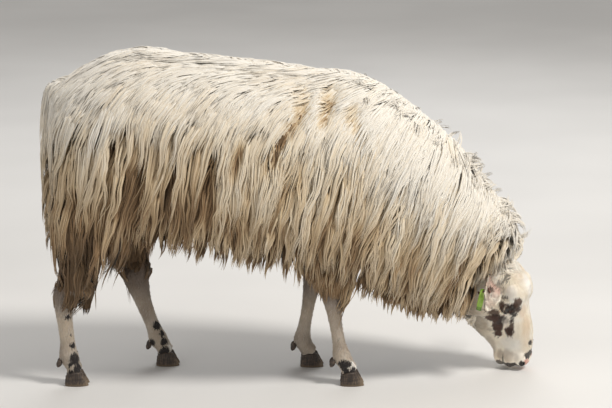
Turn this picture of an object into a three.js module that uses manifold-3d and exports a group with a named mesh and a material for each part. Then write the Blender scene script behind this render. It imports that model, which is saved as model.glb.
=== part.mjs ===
// A long-woolled heath sheep grazing: a still, life-size model in millimetres.
// +X is the way the sheep faces, +Y its left side, +Z up, and the four feet stand on Z = 0.
// The fleece, head and legs are given as named stations, which smooth sweeps pass through;
// neighbouring pieces are parted by cuts JOINT_GAP wide.
import * as THREE from "three";
import { mergeVertices } from "three/addons/utils/BufferGeometryUtils.js";
import Module from "manifold-3d";

const wasm = await Module();
wasm.setup();

// ---- driving dimensions -------------------------------------------------------------------
const JOINT_GAP = 0.35; // between pieces that touch
const NECK_CUT = { x: 150, z: 430, pitch: 9 }; // plane that parts the neck from the trunk
const HEAD = { x: 507, y: -6, z: 263, pitch: 87, turn: -22, lean: 9 }; // poll corner, and how the head hangs
const EYE = { along: 98, side: 48.5, down: -40, radius: 14 };
const EAR = { length: 104, width: 54, thick: 4.4, along: 39, side: 47, down: -79 };
const HOOF = { length: 56, width: 21, height: 31, gap: 5 };
const RIGHT = -1,
  LEFT = 1;

// ---- sweeps ----------------------------------------------------------------------------------
// A closed three.js geometry as a manifold-3d solid.
function solid(geometry) {
  const g = geometry.index ? geometry.clone() : geometry;
  g.deleteAttribute("normal");
  g.deleteAttribute("uv");
  const m = mergeVertices(g, 1e-4);
  const index = [];
  for (let i = 0; i < m.index.count; i += 3) {
    const [a, b, c] = [m.index.getX(i), m.index.getX(i + 1), m.index.getX(i + 2)];
    if (a !== b && b !== c && c !== a) index.push(a, b, c);
  }
  const build = (list) =>
    new wasm.Manifold(
      new wasm.Mesh({
        numProp: 3,
        vertProperties: new Float32Array(m.attributes.position.array),
        triVerts: new Uint32Array(list),
      }),
    );
  const made = build(index);
  if (made.volume() > 0) return made;
  for (let i = 0; i < index.length; i += 3)
    [index[i + 1], index[i + 2]] = [index[i + 2], index[i + 1]];
  return build(index);
}

// A sphere whose points are moved by place(s, a): s runs 0..1 from pole to pole, a is the angle round.
function form(segments, rings, place) {
  const g = new THREE.SphereGeometry(1, segments, rings);
  const { position, uv } = g.attributes;
  for (let i = 0; i < position.count; i++) {
    const s = 1 - uv.getY(i);
    const pole = s < 1e-6 || s > 1 - 1e-6;
    const q = place(s, pole ? 0 : (uv.getX(i) % 1) * 2 * Math.PI);
    position.setXYZ(i, q.x, q.y, q.z);
  }
  return solid(g);
}

// Values between the rows of a table, on a smooth curve through them.
function between(rows, t) {
  const x = THREE.MathUtils.clamp(t, 0, 1) * (rows.length - 1);
  const i = Math.min(rows.length - 2, Math.floor(x));
  const f = x - i;
  const at = (k) => rows[THREE.MathUtils.clamp(k, 0, rows.length - 1)];
  return rows[0].map((_, c) => {
    const [p0, p1, p2, p3] = [at(i - 1)[c], at(i)[c], at(i + 1)[c], at(i + 2)[c]];
    const m1 = (p2 - p0) / 2,
      m2 = (p3 - p1) / 2;
    return (
      (2 * f ** 3 - 3 * f * f + 1) * p1 +
      (f ** 3 - 2 * f * f + f) * m1 +
      (-2 * f ** 3 + 3 * f * f) * p2 +
      (f ** 3 - f * f) * m2
    );
  });
}

// How far along the table ring s is, with a rounded cap of `cap` rings at each end.
function ringAt(s, rings, cap) {
  const j = s * rings;
  if (j < cap) return { t: 0, size: Math.sin(((j / cap) * Math.PI) / 2), out: -Math.cos(((j / cap) * Math.PI) / 2) };
  if (j > rings - cap) {
    const k = (rings - j) / cap;
    return { t: 1, size: Math.sin((k * Math.PI) / 2), out: Math.cos((k * Math.PI) / 2) };
  }
  return { t: (j - cap) / (rings - 2 * cap), size: 1, out: 0 };
}

const power = (c, p) => Math.sign(c) * Math.abs(c) ** (2 / p);

// Rows: top x, top z, bottom x, bottom z, half width, widest height (0 bottom..1 top), roundness above, roundness below.
function barrel(rows, { segments, rings, capA, capB, cap = 4, grow = 0, y = () => 0, relief = () => 0 }) {
  return form(segments, rings, (s, a) => {
    const { t, size, out } = ringAt(s, rings, cap);
    const [tx, tz, bx, bz, half, widest, pt, pb] = between(rows, t);
    const up = new THREE.Vector3(tx - bx, 0, tz - bz);
    const height = up.length();
    up.normalize();
    const ahead = new THREE.Vector3(up.z, 0, -up.x);
    const c = Math.cos(a),
      l = Math.sin(a),
      p = c > 0 ? pt : pb;
    const rise = (c > 0 ? (1 - widest) * height : widest * height) + grow;
    const bump = relief(t, a) * size;
    return new THREE.Vector3(bx, y(t), bz)
      .addScaledVector(up, widest * height)
      .addScaledVector(ahead, out * ((out < 0 ? capA : capB) + grow))
      .addScaledVector(up, size * (rise + bump) * power(c, p))
      .add(new THREE.Vector3(0, size * (half + grow + bump) * power(l, p), 0));
  });
}

// Rows: x, y, z, half length fore and aft, half width, roundness. The rings stand across the limb's own line.
function limb(rows, { segments, rings, capA = 10, capB = 6, cap = 3, grow = 0 }) {
  const centre = (t) => {
    const [x, y, z] = between(rows, t);
    return new THREE.Vector3(x, y, z);
  };
  return form(segments, rings, (s, a) => {
    const { t, size, out } = ringAt(s, rings, cap);
    const [x, y, z, fore, side, p] = between(rows, t);
    const along = centre(Math.min(1, t + 0.02)).sub(centre(Math.max(0, t - 0.02))).normalize();
    const ahead = new THREE.Vector3().crossVectors(along, new THREE.Vector3(0, 1, 0)).normalize();
    const across = new THREE.Vector3().crossVectors(ahead, along).normalize();
    return new THREE.Vector3(x, y, z)
      .addScaledVector(along, out * ((out < 0 ? capA : capB) + grow))
      .addScaledVector(ahead, size * (fore + grow) * power(Math.cos(a), p))
      .addScaledVector(across, size * (side + grow) * power(Math.sin(a), p));
  });
}

// An ellipsoid, turned by degrees about Y and then placed.
function ball(x, y, z, rx, ry, rz, turnY = 0, segments = 16, rings = 10) {
  const g = new THREE.SphereGeometry(1, segments, rings);
  g.scale(rx, ry, rz);
  g.rotateY(THREE.MathUtils.degToRad(turnY));
  g.translate(x, y, z);
  return solid(g);
}

const moved = (body, matrix) => body.transform(matrix.elements);

// ---- fleece: trunk and neck in one sweep ----------------------------------------------------
//            top x  top z  bot x  bot z  half  widest  above below
const FLEECE = [
  [-552, 672, -552, 318, 112, 0.46, 2.2, 2.5], // pin bones
  [-500, 704, -500, 300, 150, 0.45, 2.2, 2.6],
  [-430, 736, -430, 296, 171, 0.44, 2.2, 2.6], // croup
  [-359, 747, -359, 296, 182, 0.43, 2.2, 2.6],
  [-270, 736, -270, 282, 196, 0.42, 2.2, 2.7], // loin
  [-170, 725, -170, 262, 207, 0.41, 2.2, 2.7],
  [-70, 714, -70, 243, 209, 0.41, 2.2, 2.7], // barrel
  [20, 700, 20, 222, 204, 0.42, 2.2, 2.6],
  [104, 692, 100, 197, 194, 0.43, 2.2, 2.5], // shoulder
  [194, 650, 138, 178, 180, 0.45, 2.2, 2.4],
  [278, 586, 188, 154, 163, 0.46, 2.2, 2.3],
  [342, 528, 236, 137, 150, 0.47, 2.2, 2.2],
  [390, 462, 274, 130, 138, 0.48, 2.2, 2.2],
  [436, 406, 303, 126, 126, 0.49, 2.1, 2.2],
  [468, 366, 320, 124, 114, 0.5, 2.1, 2.1],
  [478, 320, 333, 126, 100, 0.5, 2.1, 2.1],
  [454, 274, 347, 131, 85, 0.5, 2.1, 2.1], // collar behind the ears
];
// Locks stand out from the fleece in soft flutes that lean and break as they go round the body.
const locks = (t, a) =>
  3.4 * Math.sin(46 * t * Math.PI + 2.2 * Math.sin(2 * a)) * Math.min(1, Math.abs(Math.sin(a)) * 1.6) +
  2.2 * Math.sin(17 * t * Math.PI + 3 * a);
// The wool stops short of each ear: a hollow in either side of the collar.
const CLEARING = { x: 402, y: 94, z: 206, long: 68, deep: 54, high: 38, tilt: -53 };
const clearing = (side, grow) =>
  ball(CLEARING.x, HEAD.y + side * CLEARING.y, CLEARING.z, CLEARING.long - grow, CLEARING.deep - grow, CLEARING.high - grow, CLEARING.tilt, 10, 7);
const fleeceWith = (grow) =>
  barrel(FLEECE, { segments: 22, rings: 40, capA: 24, capB: 8, cap: 3, grow, relief: locks })
    .subtract(clearing(RIGHT, 1.2 * grow))
    .subtract(clearing(LEFT, 1.2 * grow));
const fleece = fleeceWith(0);
const fleeceGrown = fleeceWith(2.4 * JOINT_GAP); // so that the gap is right on the flat collar too

// Two half spaces either side of the neck cut, JOINT_GAP apart.
function slab(from, to) {
  const g = new THREE.BoxGeometry(to - from, 1200, 2400);
  g.translate((from + to) / 2, 0, 0);
  g.rotateY(THREE.MathUtils.degToRad(NECK_CUT.pitch));
  g.translate(NECK_CUT.x, 0, NECK_CUT.z);
  return solid(g);
}
let trunk = fleece.intersect(slab(-1500, -JOINT_GAP / 2));
let neck = fleece.intersect(slab(JOINT_GAP / 2, 1500));

// ---- tail: long and woolly, hanging to the hocks ---------------------------------------------
const TAIL = [
  [-556, 0, 652, 22, 28, 2.1],
  [-566, 0, 596, 26, 37, 2.1],
  [-569, 0, 515, 26, 43, 2.1],
  [-569, 1, 432, 27, 46, 2.1],
  [-569, 2, 355, 26, 43, 2.1],
  [-565, 3, 305, 18, 31, 2.1],
  [-562, 4, 282, 9, 15, 2.1],
];
const tailWith = (grow) => limb(TAIL, { segments: 10, rings: 12, capA: 14, capB: 12, grow });
const tail = tailWith(0).subtract(fleeceGrown);

// ---- legs ---------------------------------------------------------------------------------------
//   x     y    z   fore side round
const LEGS = {
  hind_right: [
    [-486, -92, 400, 88, 62, 2.2], // thigh, in the fleece
    [-491, -94, 330, 90, 62, 2.2],
    [-496, -96, 285, 82, 56, 2.2], // breeching wool
    [-510, -96, 250, 60, 43, 2.2],
    [-531, -94, 225, 36, 27, 2.2], // hock
    [-541, -92, 200, 26, 20, 2.2],
    [-540, -91, 165, 20.5, 16.5, 2.3], // cannon
    [-536, -90, 125, 18.5, 15.5, 2.3],
    [-533, -90, 92, 19, 16.5, 2.2],
    [-531, -90, 66, 23.5, 21.5, 2.1], // fetlock
    [-522, -90, 46, 20, 20.5, 2.1], // pastern
    [-513, -90, 30, 25, 23, 2.1], // coronet
  ],
  hind_left: [
    [-440, 92, 400, 86, 62, 2.2],
    [-424, 92, 335, 84, 60, 2.2],
    [-402, 88, 285, 64, 46, 2.2],
    [-386, 82, 243, 44, 33, 2.2], // gaskin
    [-390, 78, 212, 34, 24, 2.2],
    [-386, 75, 190, 28, 20, 2.2], // hock
    [-374, 73, 150, 21, 17, 2.3],
    [-361, 71, 114, 18, 15.5, 2.3],
    [-349, 70, 84, 19, 16.5, 2.2],
    [-341, 70, 62, 23, 21.5, 2.1],
    [-329, 70, 44, 20, 20.5, 2.1],
    [-318, 70, 29, 25, 23, 2.1],
  ],
  fore_right: [
    [52, -104, 330, 56, 44, 2.2], // forearm, in the fleece
    [52, -100, 280, 42, 34, 2.2],
    [54, -96, 240, 28, 24, 2.2],
    [57, -94, 210, 24.5, 22, 2.3], // knee
    [61, -93, 184, 21, 19.5, 2.3],
    [65, -92, 150, 16.8, 15.5, 2.3], // cannon
    [70, -91, 118, 15.8, 15, 2.3],
    [75, -90, 90, 17.4, 16.5, 2.2],
    [80, -90, 66, 22, 21.5, 2.1], // fetlock
    [91, -90, 46, 19.5, 20.5, 2.1],
    [102, -90, 30, 24.5, 23, 2.1],
  ],
  fore_left: [
    [28, 102, 330, 56, 44, 2.2],
    [26, 94, 280, 40, 34, 2.2],
    [21, 84, 236, 27, 24, 2.2],
    [17, 78, 206, 24, 22, 2.3],
    [12, 74, 180, 20.5, 19.5, 2.3],
    [6, 70, 146, 16.8, 15.5, 2.3],
    [0, 66, 112, 15.8, 15, 2.3],
    [-5, 64, 84, 17.6, 16.5, 2.2],
    [-8, 63, 61, 22, 21.5, 2.1],
    [1, 62, 43, 19.5, 20.5, 2.1],
    [12, 62, 29, 24.5, 23, 2.1],
  ],
};
const legWith = (name, grow) => limb(LEGS[name], { segments: 10, rings: 17, capA: 20, capB: 4, grow });

// One claw of a hoof, as level rings round its own middle line: flat sole, sloping toe wall, pointed tip.
// It is HOOF.length long, side -1 or 1 tells which claw of the pair, and x, y is the middle of the foot's sole.
function claw(x, y, side, grow) {
  const body = (grow) =>
    form(10, 7, (s, a) => {
      const k = Math.round(s * 7);
      const level = THREE.MathUtils.clamp((k - 2) / 4, 0, 1); // 0 top, 1 sole
      const size = k < 2 ? k / 2 : k > 6 ? 0 : 1;
      const z = HOOF.height * (1 - level) + (k < 2 ? 2.2 * (1 - k / 2) : 0);
      const len = THREE.MathUtils.lerp(HOOF.length * 0.66, HOOF.length, level) / 2;
      const mid = THREE.MathUtils.lerp(-7, 0, level);
      const c = Math.cos(a),
        l = Math.sin(a);
      const tip = 1 - 0.42 * Math.max(0, c) ** 2; // narrows towards the toe
      const wide = (HOOF.width / 2) * THREE.MathUtils.lerp(0.86, 1, level) * tip;
      const flat = l * side < 0 ? 0.72 : 1.14; // the inner wall is flatter
      const rise = c < 0 ? (1 - level) * c * 8 : 0; // the heel is lower than the toe
      return new THREE.Vector3(
        mid + size * (len + grow) * power(c, 2.3),
        size * (wide * flat + grow) * power(l, 2.4) - side * 1.2 * Math.max(0, c) * size,
        Math.max(0, z + rise * size) + (k <= 2 ? grow : 0),
      );
    });
  const m = new THREE.Matrix4().makeTranslation(x, y + (side * (HOOF.width + HOOF.gap)) / 2, 0);
  return moved(body(grow), m);
}
const FEET = {
  hind_right: { x: -513, y: -90 },
  hind_left: { x: -318, y: 70 },
  fore_right: { x: 104, y: -90 },
  fore_left: { x: 14, y: 62 },
};

// Dewclaws: two small horn cones behind each fetlock.
function dewclaw(x, y, z, side, grow = 0) {
  return ball(x - 21, y + side * 11, z - 15, 6.5 + grow, 6 + grow, 10 + grow, 24, 6, 4);
}
const FETLOCK = {
  hind_right: [-531, -90, 66],
  hind_left: [-341, 70, 62],
  fore_right: [80, -90, 66],
  fore_left: [-8, 63, 61],
};

// ---- head ------------------------------------------------------------------------------------------
// The head's own frame: +X from the poll to the muzzle along the bridge of the nose, +Z out of the forehead, +Y its left.
//       top x  top z  bot x  bot z  half  widest above below
const SKULL = [
  [2, -50, 2, -132, 40, 0.5, 2.2, 2.2], // poll
  [22, -26, 22, -158, 50, 0.55, 2.2, 2.2],
  [46, -8, 46, -172, 54, 0.6, 2.2, 2.2], // forehead
  [72, -1, 72, -178, 55, 0.62, 2.2, 2.1],
  [98, -7, 98, -178, 54, 0.62, 2.1, 2.1],
  [124, -6, 124, -173, 50, 0.62, 2.0, 2.1], // cheek
  [150, -1, 150, -160, 45, 0.6, 2.0, 2.1],
  [176, 2, 176, -137, 39, 0.58, 2.0, 2.1], // Roman nose
  [202, 1, 202, -109, 34, 0.54, 2.0, 2.1],
  [222, -3, 222, -94, 32, 0.5, 2.1, 2.2],
  [238, -11, 238, -90, 33, 0.5, 2.3, 2.3], // lips
  [249, -24, 249, -82, 27, 0.5, 2.3, 2.3],
];
const headPlace = new THREE.Matrix4()
  .makeTranslation(HEAD.x, HEAD.y, HEAD.z)
  .multiply(new THREE.Matrix4().makeRotationX(THREE.MathUtils.degToRad(HEAD.lean)))
  .multiply(new THREE.Matrix4().makeRotationZ(THREE.MathUtils.degToRad(HEAD.turn)))
  .multiply(new THREE.Matrix4().makeRotationY(THREE.MathUtils.degToRad(HEAD.pitch)));

let skull = barrel(SKULL, { segments: 18, rings: 18, capA: 12, capB: 7, cap: 3 });
for (const side of [RIGHT, LEFT]) {
  skull = skull
    .add(ball(88, side * 41, -29, 24, 17, 17, 12, 8, 6)) // brow over the eye
    .add(ball(110, side * 43, -60, 27, 11, 14, 20, 8, 6)) // cheekbone
    .add(ball(94, side * 41, -112, 42, 14, 42, 0, 8, 6)) // cheek muscle
    .add(ball(40, side * 42, -74, 15, 13, 15, 0, 8, 5)) // root of the ear
    .add(ball(232, side * 20, -21, 15, 12, 13, 20, 8, 6)); // wing of the nose
}
for (const side of [RIGHT, LEFT]) {
  skull = skull
    .subtract(ball(243, side * 19, -19, 11, 3.4, 6, -35, 6, 4)) // nostril
    .subtract(ball(230, side * 27, -60, 25, 12, 1.3, 8, 6, 4)); // corner of the mouth
}
skull = skull.subtract(ball(256, 0, -58, 12, 22, 1.3, 8, 6, 4)); // mouth

const eyeAt = (side, r) => ball(EYE.along, side * EYE.side, EYE.down, r, r, r, 0, 10, 8);
for (const side of [RIGHT, LEFT]) skull = skull.subtract(eyeAt(side, EYE.radius + JOINT_GAP));

// An ear: a leaf with turned-in edges. It runs from its root along `run`, and its hollow side looks along `hollow`.
const earRoot = (side) => new THREE.Vector3(EAR.along, side * EAR.side, EAR.down).applyMatrix4(headPlace);
const EARS = {
  right: { side: RIGHT, run: [-0.1, -0.92, -0.37], hollow: [0.7, -0.42, 0.5], curl: 9 }, // droops under its tag
  left: { side: LEFT, run: [0.64, 0.76, 0.14], hollow: [0.85, -0.15, -0.4], curl: 32 }, // raised, its tip bent back
};
// The ear's own axes: x along it, z out of its hollow, y towards its rear edge (right) or front edge (left).
function earAxes({ run, hollow }) {
  const x = new THREE.Vector3(...run).normalize();
  const z = new THREE.Vector3(...hollow).addScaledVector(x, -x.dot(new THREE.Vector3(...hollow))).normalize();
  return [x, new THREE.Vector3().crossVectors(z, x), z];
}
const earCup = (curl, at, w) => (0.01 + 0.01 * (1 - at / EAR.length)) * w * w - curl * (at / EAR.length) ** 2;
function ear(which) {
  const leaf = form(10, 9, (s, a) => {
    const at = s * EAR.length;
    const inside = s > 1e-3 && s < 1 - 1e-3 ? 1 : 0;
    const wide = inside * (EAR.width / 2) * Math.sin(Math.PI * (0.17 + 0.83 * s) ** 0.86) ** 0.62;
    const thick = inside * (EAR.thick / 2) * (1.8 - 0.9 * s);
    const w = wide * Math.cos(a);
    return new THREE.Vector3(at, w, earCup(which.curl, at, w) + thick * Math.sin(a));
  });
  const [x, y, z] = earAxes(which);
  return moved(leaf, new THREE.Matrix4().makeBasis(x, y, z).setPosition(earRoot(which.side)));
}

// The geometry of a solid.
function meshOf(body) {
  const m = body.getMesh();
  const g = new THREE.BufferGeometry();
  g.setAttribute("position", new THREE.BufferAttribute(new Float32Array(m.vertProperties), 3));
  g.setIndex(new THREE.BufferAttribute(new Uint32Array(m.triVerts), 1));
  return g;
}

const skullWorld = moved(skull, headPlace);
// Ear tag: a strip behind the ear and a shorter one behind that, hung from a pin with a button in the ear's hollow.
const TAG = { along: 51, across: -13, thick: 2.2, button: 6.5, pin: 2.2, behind: 9.5, ahead: 5.5 };
const STRIPS = {
  plate: { left: -8.5, right: 8.5, top: 6, foot: -35, behind: 0 },
  back: { left: -4, right: 12, top: 6, foot: -43, behind: TAG.thick + 0.6 },
};
const HANG = { down: [-0.24, -0.26, -0.93], face: [0.66, -0.74, -0.1] };
const tagAt = (() => {
  const [x, y, z] = earAxes(EARS.right);
  const cup = (w) => earCup(EARS.right.curl, TAG.along, w);
  const slope = Math.atan((cup(TAG.across + 1) - cup(TAG.across - 1)) / 2);
  const out = z.clone().multiplyScalar(Math.cos(slope)).addScaledVector(y, -Math.sin(slope)); // square to the ear there
  const at = earRoot(RIGHT).addScaledVector(x, TAG.along).addScaledVector(y, TAG.across).addScaledVector(z, cup(TAG.across));
  return { at, out };
})();
// A round bar along the pin's line, from `from` to `to` measured from the ear's middle surface.
function bar(from, to, radius, segments = 10) {
  const g = new THREE.CylinderGeometry(radius, radius, to - from, segments);
  g.translate(0, (from + to) / 2, 0);
  g.applyQuaternion(new THREE.Quaternion().setFromUnitVectors(new THREE.Vector3(0, 1, 0), tagAt.out));
  g.translate(tagAt.at.x, tagAt.at.y, tagAt.at.z);
  return solid(g);
}
// A strip with rounded corners, which hangs from the pin.
function strip({ left, right, top, foot, behind }) {
  const round = 4;
  const outline = new THREE.Shape();
  outline.moveTo(left + round, top).lineTo(right - round, top).quadraticCurveTo(right, top, right, top - round);
  outline.lineTo(right, foot + round).quadraticCurveTo(right, foot, right - round, foot);
  outline.lineTo(left + round, foot).quadraticCurveTo(left, foot, left, foot + round);
  outline.lineTo(left, top - round).quadraticCurveTo(left, top, left + round, top);
  const g = new THREE.ExtrudeGeometry(outline, { depth: TAG.thick, bevelEnabled: false, curveSegments: 2 });
  g.translate(0, 0, -behind - TAG.thick / 2);
  const y = new THREE.Vector3(...HANG.down).negate().normalize();
  const z = new THREE.Vector3(...HANG.face).addScaledVector(y, -y.dot(new THREE.Vector3(...HANG.face))).normalize();
  const m = new THREE.Matrix4().makeBasis(new THREE.Vector3().crossVectors(y, z), y, z);
  m.setPosition(tagAt.at.clone().addScaledVector(tagAt.out, -TAG.behind));
  g.applyMatrix4(m);
  return solid(g);
}
const pinEnd = TAG.behind + STRIPS.back.behind + 6.5;
const pinHole = bar(-pinEnd - 4, TAG.ahead + 1, TAG.pin + JOINT_GAP);
const tagPlate = strip(STRIPS.plate).subtract(pinHole);
const tagBack = strip(STRIPS.back).subtract(pinHole);
const tagPin = bar(-pinEnd, TAG.ahead, TAG.pin)
  .add(bar(TAG.ahead - 1, TAG.ahead + 1.6, TAG.button))
  .add(bar(-pinEnd - 1.6, -pinEnd + 1, 3.6));

// ---- wool that hangs between the hind legs --------------------------------------------------------
const GROIN = [
  [-478, -8, 350, 32, 30, 2.1],
  [-490, -10, 300, 40, 38, 2.1],
  [-497, -12, 245, 39, 36, 2.1],
  [-498, -13, 200, 32, 30, 2.1],
  [-496, -13, 164, 19, 19, 2.1],
];

// ---- assembly ------------------------------------------------------------------------------------
const colour = {
  wool: [0.86, 0.79, 0.67],
  hair: [0.9, 0.86, 0.8],
  horn: [0.2, 0.16, 0.13],
  eye: [0.42, 0.3, 0.12],
  tag: [0.55, 0.78, 0.2],
};
const group = new THREE.Group();
function add(name, body, kind, roughness = 0.9) {
  const g = meshOf(body);
  g.computeBoundingBox();
  const c = g.boundingBox.getCenter(new THREE.Vector3()).round();
  g.translate(-c.x, -c.y, -c.z);
  g.computeVertexNormals();
  const material = new THREE.MeshStandardMaterial({ color: new THREE.Color(...colour[kind]), roughness, metalness: 0 });
  const mesh = new THREE.Mesh(g, material);
  mesh.name = name;
  mesh.position.copy(c);
  group.add(mesh);
}

// Parts each later piece keeps clear of.
const claws = {},
  dews = {};
for (const [name, { x, y }] of Object.entries(FEET)) {
  claws[name] = [RIGHT, LEFT].map((side) => claw(x, y, side, 0));
  const [fx, fy, fz] = FETLOCK[name];
  dews[name] = [RIGHT, LEFT].map((side) => dewclaw(fx, fy, fz, side));
}
const legs = {};
for (const name of Object.keys(LEGS)) {
  let leg = legWith(name, 0).subtract(fleeceGrown);
  const { x, y } = FEET[name];
  for (const side of [RIGHT, LEFT]) leg = leg.subtract(claw(x, y, side, JOINT_GAP));
  const [fx, fy, fz] = FETLOCK[name];
  for (const side of [RIGHT, LEFT]) leg = leg.subtract(dewclaw(fx, fy, fz, side, JOINT_GAP));
  if (name.startsWith("hind")) leg = leg.subtract(tailWith(JOINT_GAP));
  legs[name] = leg;
}
const headBody = skullWorld.subtract(fleeceGrown);
const ears = {};
for (const [name, which] of Object.entries(EARS)) {
  let body = ear(which).subtract(fleeceGrown);
  // a copy of the head a little larger all round, so that the ear's root keeps its gap
  for (const [dx, dy, dz] of [[0, 0, 0], [JOINT_GAP, 0, 0], [-JOINT_GAP, 0, 0], [0, JOINT_GAP, 0], [0, -JOINT_GAP, 0], [0, 0, JOINT_GAP], [0, 0, -JOINT_GAP]])
    body = body.subtract(skullWorld.translate([dx, dy, dz]));
  if (name === "right") body = body.subtract(pinHole);
  ears[name] = body;
}
let groin = limb(GROIN, { segments: 10, rings: 11, capA: 10, capB: 14 }).subtract(fleeceGrown);
for (const name of ["hind_right", "hind_left"]) groin = groin.subtract(legWith(name, JOINT_GAP));

// Cuts can leave loose slivers: the largest piece is the part.
const main = (body) => body.decompose().sort((a, b) => b.volume() - a.volume())[0];

add("trunk", main(trunk), "wool");
add("neck", main(neck), "wool");
add("tail", main(tail), "wool");
add("groin_wool", main(groin), "wool");
add("head", main(headBody), "hair");
add("ear_tag_plate", tagPlate, "tag", 0.45);
add("ear_tag_back", tagBack, "tag", 0.45);
add("ear_tag_pin", tagPin, "tag", 0.45);
for (const [name, body] of Object.entries(ears)) add("ear_" + name, main(body), "hair");
for (const [name, side] of [["right", RIGHT], ["left", LEFT]])
  add("eye_" + name, moved(eyeAt(side, EYE.radius), headPlace), "eye", 0.15);
for (const [name, body] of Object.entries(legs)) add("leg_" + name, main(body), "hair");
for (const name of Object.keys(FEET)) {
  ["outer", "inner"].forEach((which, i) => {
    const k = name.endsWith("right") ? i : 1 - i;
    add("hoof_" + name + "_" + which, claws[name][k], "horn", 0.5);
    add("dewclaw_" + name + "_" + which, dews[name][k], "horn", 0.5);
  });
}

// The row's own origin is the middle of the box the whole sheep stands in, at floor level.
const box = new THREE.Box3().setFromObject(group, true);
const shift = new THREE.Vector3((box.min.x + box.max.x) / 2, (box.min.y + box.max.y) / 2, box.min.z);
for (const mesh of group.children) mesh.position.sub(shift);

export default group;
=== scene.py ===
import math

import bpy
import numpy as np
import openvdb as vdb
from mathutils import Matrix, Vector


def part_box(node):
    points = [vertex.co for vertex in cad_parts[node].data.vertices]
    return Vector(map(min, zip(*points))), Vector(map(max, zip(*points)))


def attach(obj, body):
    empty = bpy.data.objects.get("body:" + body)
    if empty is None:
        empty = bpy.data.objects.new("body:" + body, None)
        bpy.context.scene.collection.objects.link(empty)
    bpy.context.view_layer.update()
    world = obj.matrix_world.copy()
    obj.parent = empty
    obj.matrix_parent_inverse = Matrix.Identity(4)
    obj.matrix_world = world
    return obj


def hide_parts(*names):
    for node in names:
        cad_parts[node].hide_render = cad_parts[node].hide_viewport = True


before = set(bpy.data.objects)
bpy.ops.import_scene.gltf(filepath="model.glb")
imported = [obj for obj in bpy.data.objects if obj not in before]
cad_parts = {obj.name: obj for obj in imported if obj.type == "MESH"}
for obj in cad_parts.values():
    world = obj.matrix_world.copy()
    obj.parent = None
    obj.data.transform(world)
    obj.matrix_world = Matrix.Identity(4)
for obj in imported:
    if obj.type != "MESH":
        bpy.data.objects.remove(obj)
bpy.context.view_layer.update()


# ---- frame: the part's own millimetre tables are about a point between the feet ------------------
def rot(axis, deg):
    c, s = math.cos(math.radians(deg)), math.sin(math.radians(deg))
    return np.array(
        {
            "x": [[1, 0, 0], [0, c, -s], [0, s, c]],
            "y": [[c, 0, s], [0, 1, 0], [-s, 0, c]],
            "z": [[c, -s, 0], [s, c, 0], [0, 0, 1]],
        }[axis],
        float,
    )


HM = rot("x", 9) @ rot("z", -22) @ rot("y", 87)  # head axes: x poll to muzzle, y its left, z out of the forehead
head_at = np.array([507.0, -6.0, 263.0]) / 1000
EYE = np.array([98.0, -48.5, -40.0]) / 1000
lo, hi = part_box("eye_right")
eye_mid = (np.array(lo) + np.array(hi)) / 2
SHIFT = eye_mid - (head_at + HM @ EYE)
SHIFT[2] = 0.0


def place(p):
    """Design millimetres to the row frame, in metres."""
    return np.asarray(p, float) / 1000 + SHIFT


HO = head_at + SHIFT


def to_head(p):
    return (p - HO) @ HM


def from_head(p):
    return np.asarray(p, float) @ HM.T + HO


# ---- camera, floor and light -----------------------------------------------------------------------
TARGET = place([0, 0, 394])
TARGET[1] = SHIFT[1]
cam_back = np.array([0, -math.cos(math.radians(12.5)), math.sin(math.radians(12.5))])
CAM = TARGET + 5.5 * cam_back
cam_data = bpy.data.cameras.new("camera")
cam_data.sensor_width = 36
cam_data.sensor_fit = "HORIZONTAL"
cam_data.lens = 143.97
cam_data.clip_end = 60
camera = bpy.data.objects.new("camera", cam_data)
bpy.context.scene.collection.objects.link(camera)
camera.location = Vector(CAM)
camera.rotation_mode = "QUATERNION"
camera.rotation_quaternion = Vector(-cam_back).to_track_quat("-Z", "Y")
bpy.context.scene.camera = camera
bpy.context.scene.view_settings.view_transform = "Standard"
CAM_RIGHT = np.array([1.0, 0, 0])
CAM_UP = np.cross(CAM_RIGHT, -cam_back)
FOCAL = 143.97 / 36 * 612


def ray(px, py):
    d = -cam_back + CAM_RIGHT * (px - 306) / FOCAL - CAM_UP * (py - 204) / FOCAL
    return d / np.linalg.norm(d)


def link(obj):
    bpy.context.scene.collection.objects.link(obj)
    return obj


def mesh_object(name, verts, faces, smooth=True):
    me = bpy.data.meshes.new(name)
    verts = np.ascontiguousarray(verts, np.float32)
    faces = np.ascontiguousarray(faces, np.int32)
    n = faces.shape[1]
    me.vertices.add(len(verts))
    me.vertices.foreach_set("co", verts.ravel())
    me.loops.add(faces.size)
    me.loops.foreach_set("vertex_index", faces.ravel())
    me.polygons.add(len(faces))
    me.polygons.foreach_set("loop_start", np.arange(0, faces.size, n, dtype=np.int32))
    me.update(calc_edges=True)
    me.polygons.foreach_set("use_smooth", np.full(len(faces), smooth))
    me.update()
    return link(bpy.data.objects.new(name, me))


def attribute(obj, name, values):
    a = obj.data.attributes.new(name, "FLOAT", "POINT")
    a.data.foreach_set("value", np.ascontiguousarray(values, np.float32))


floor = mesh_object(
    "floor",
    [[-40, -30, 0], [40, -30, 0], [40, 50, 0], [-40, 50, 0]],
    [[0, 1, 2, 3]],
    smooth=False,
)


def area_light(name, at, target, size, energy, colour=(1, 1, 1)):
    data = bpy.data.lights.new(name, "AREA")
    data.shape = "DISK"
    data.size = size
    data.energy = energy
    data.color = colour
    o = link(bpy.data.objects.new(name, data))
    o.location = at
    o.rotation_mode = "QUATERNION"
    o.rotation_quaternion = (Vector(target) - Vector(at)).to_track_quat("-Z", "Y")
    return o


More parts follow.
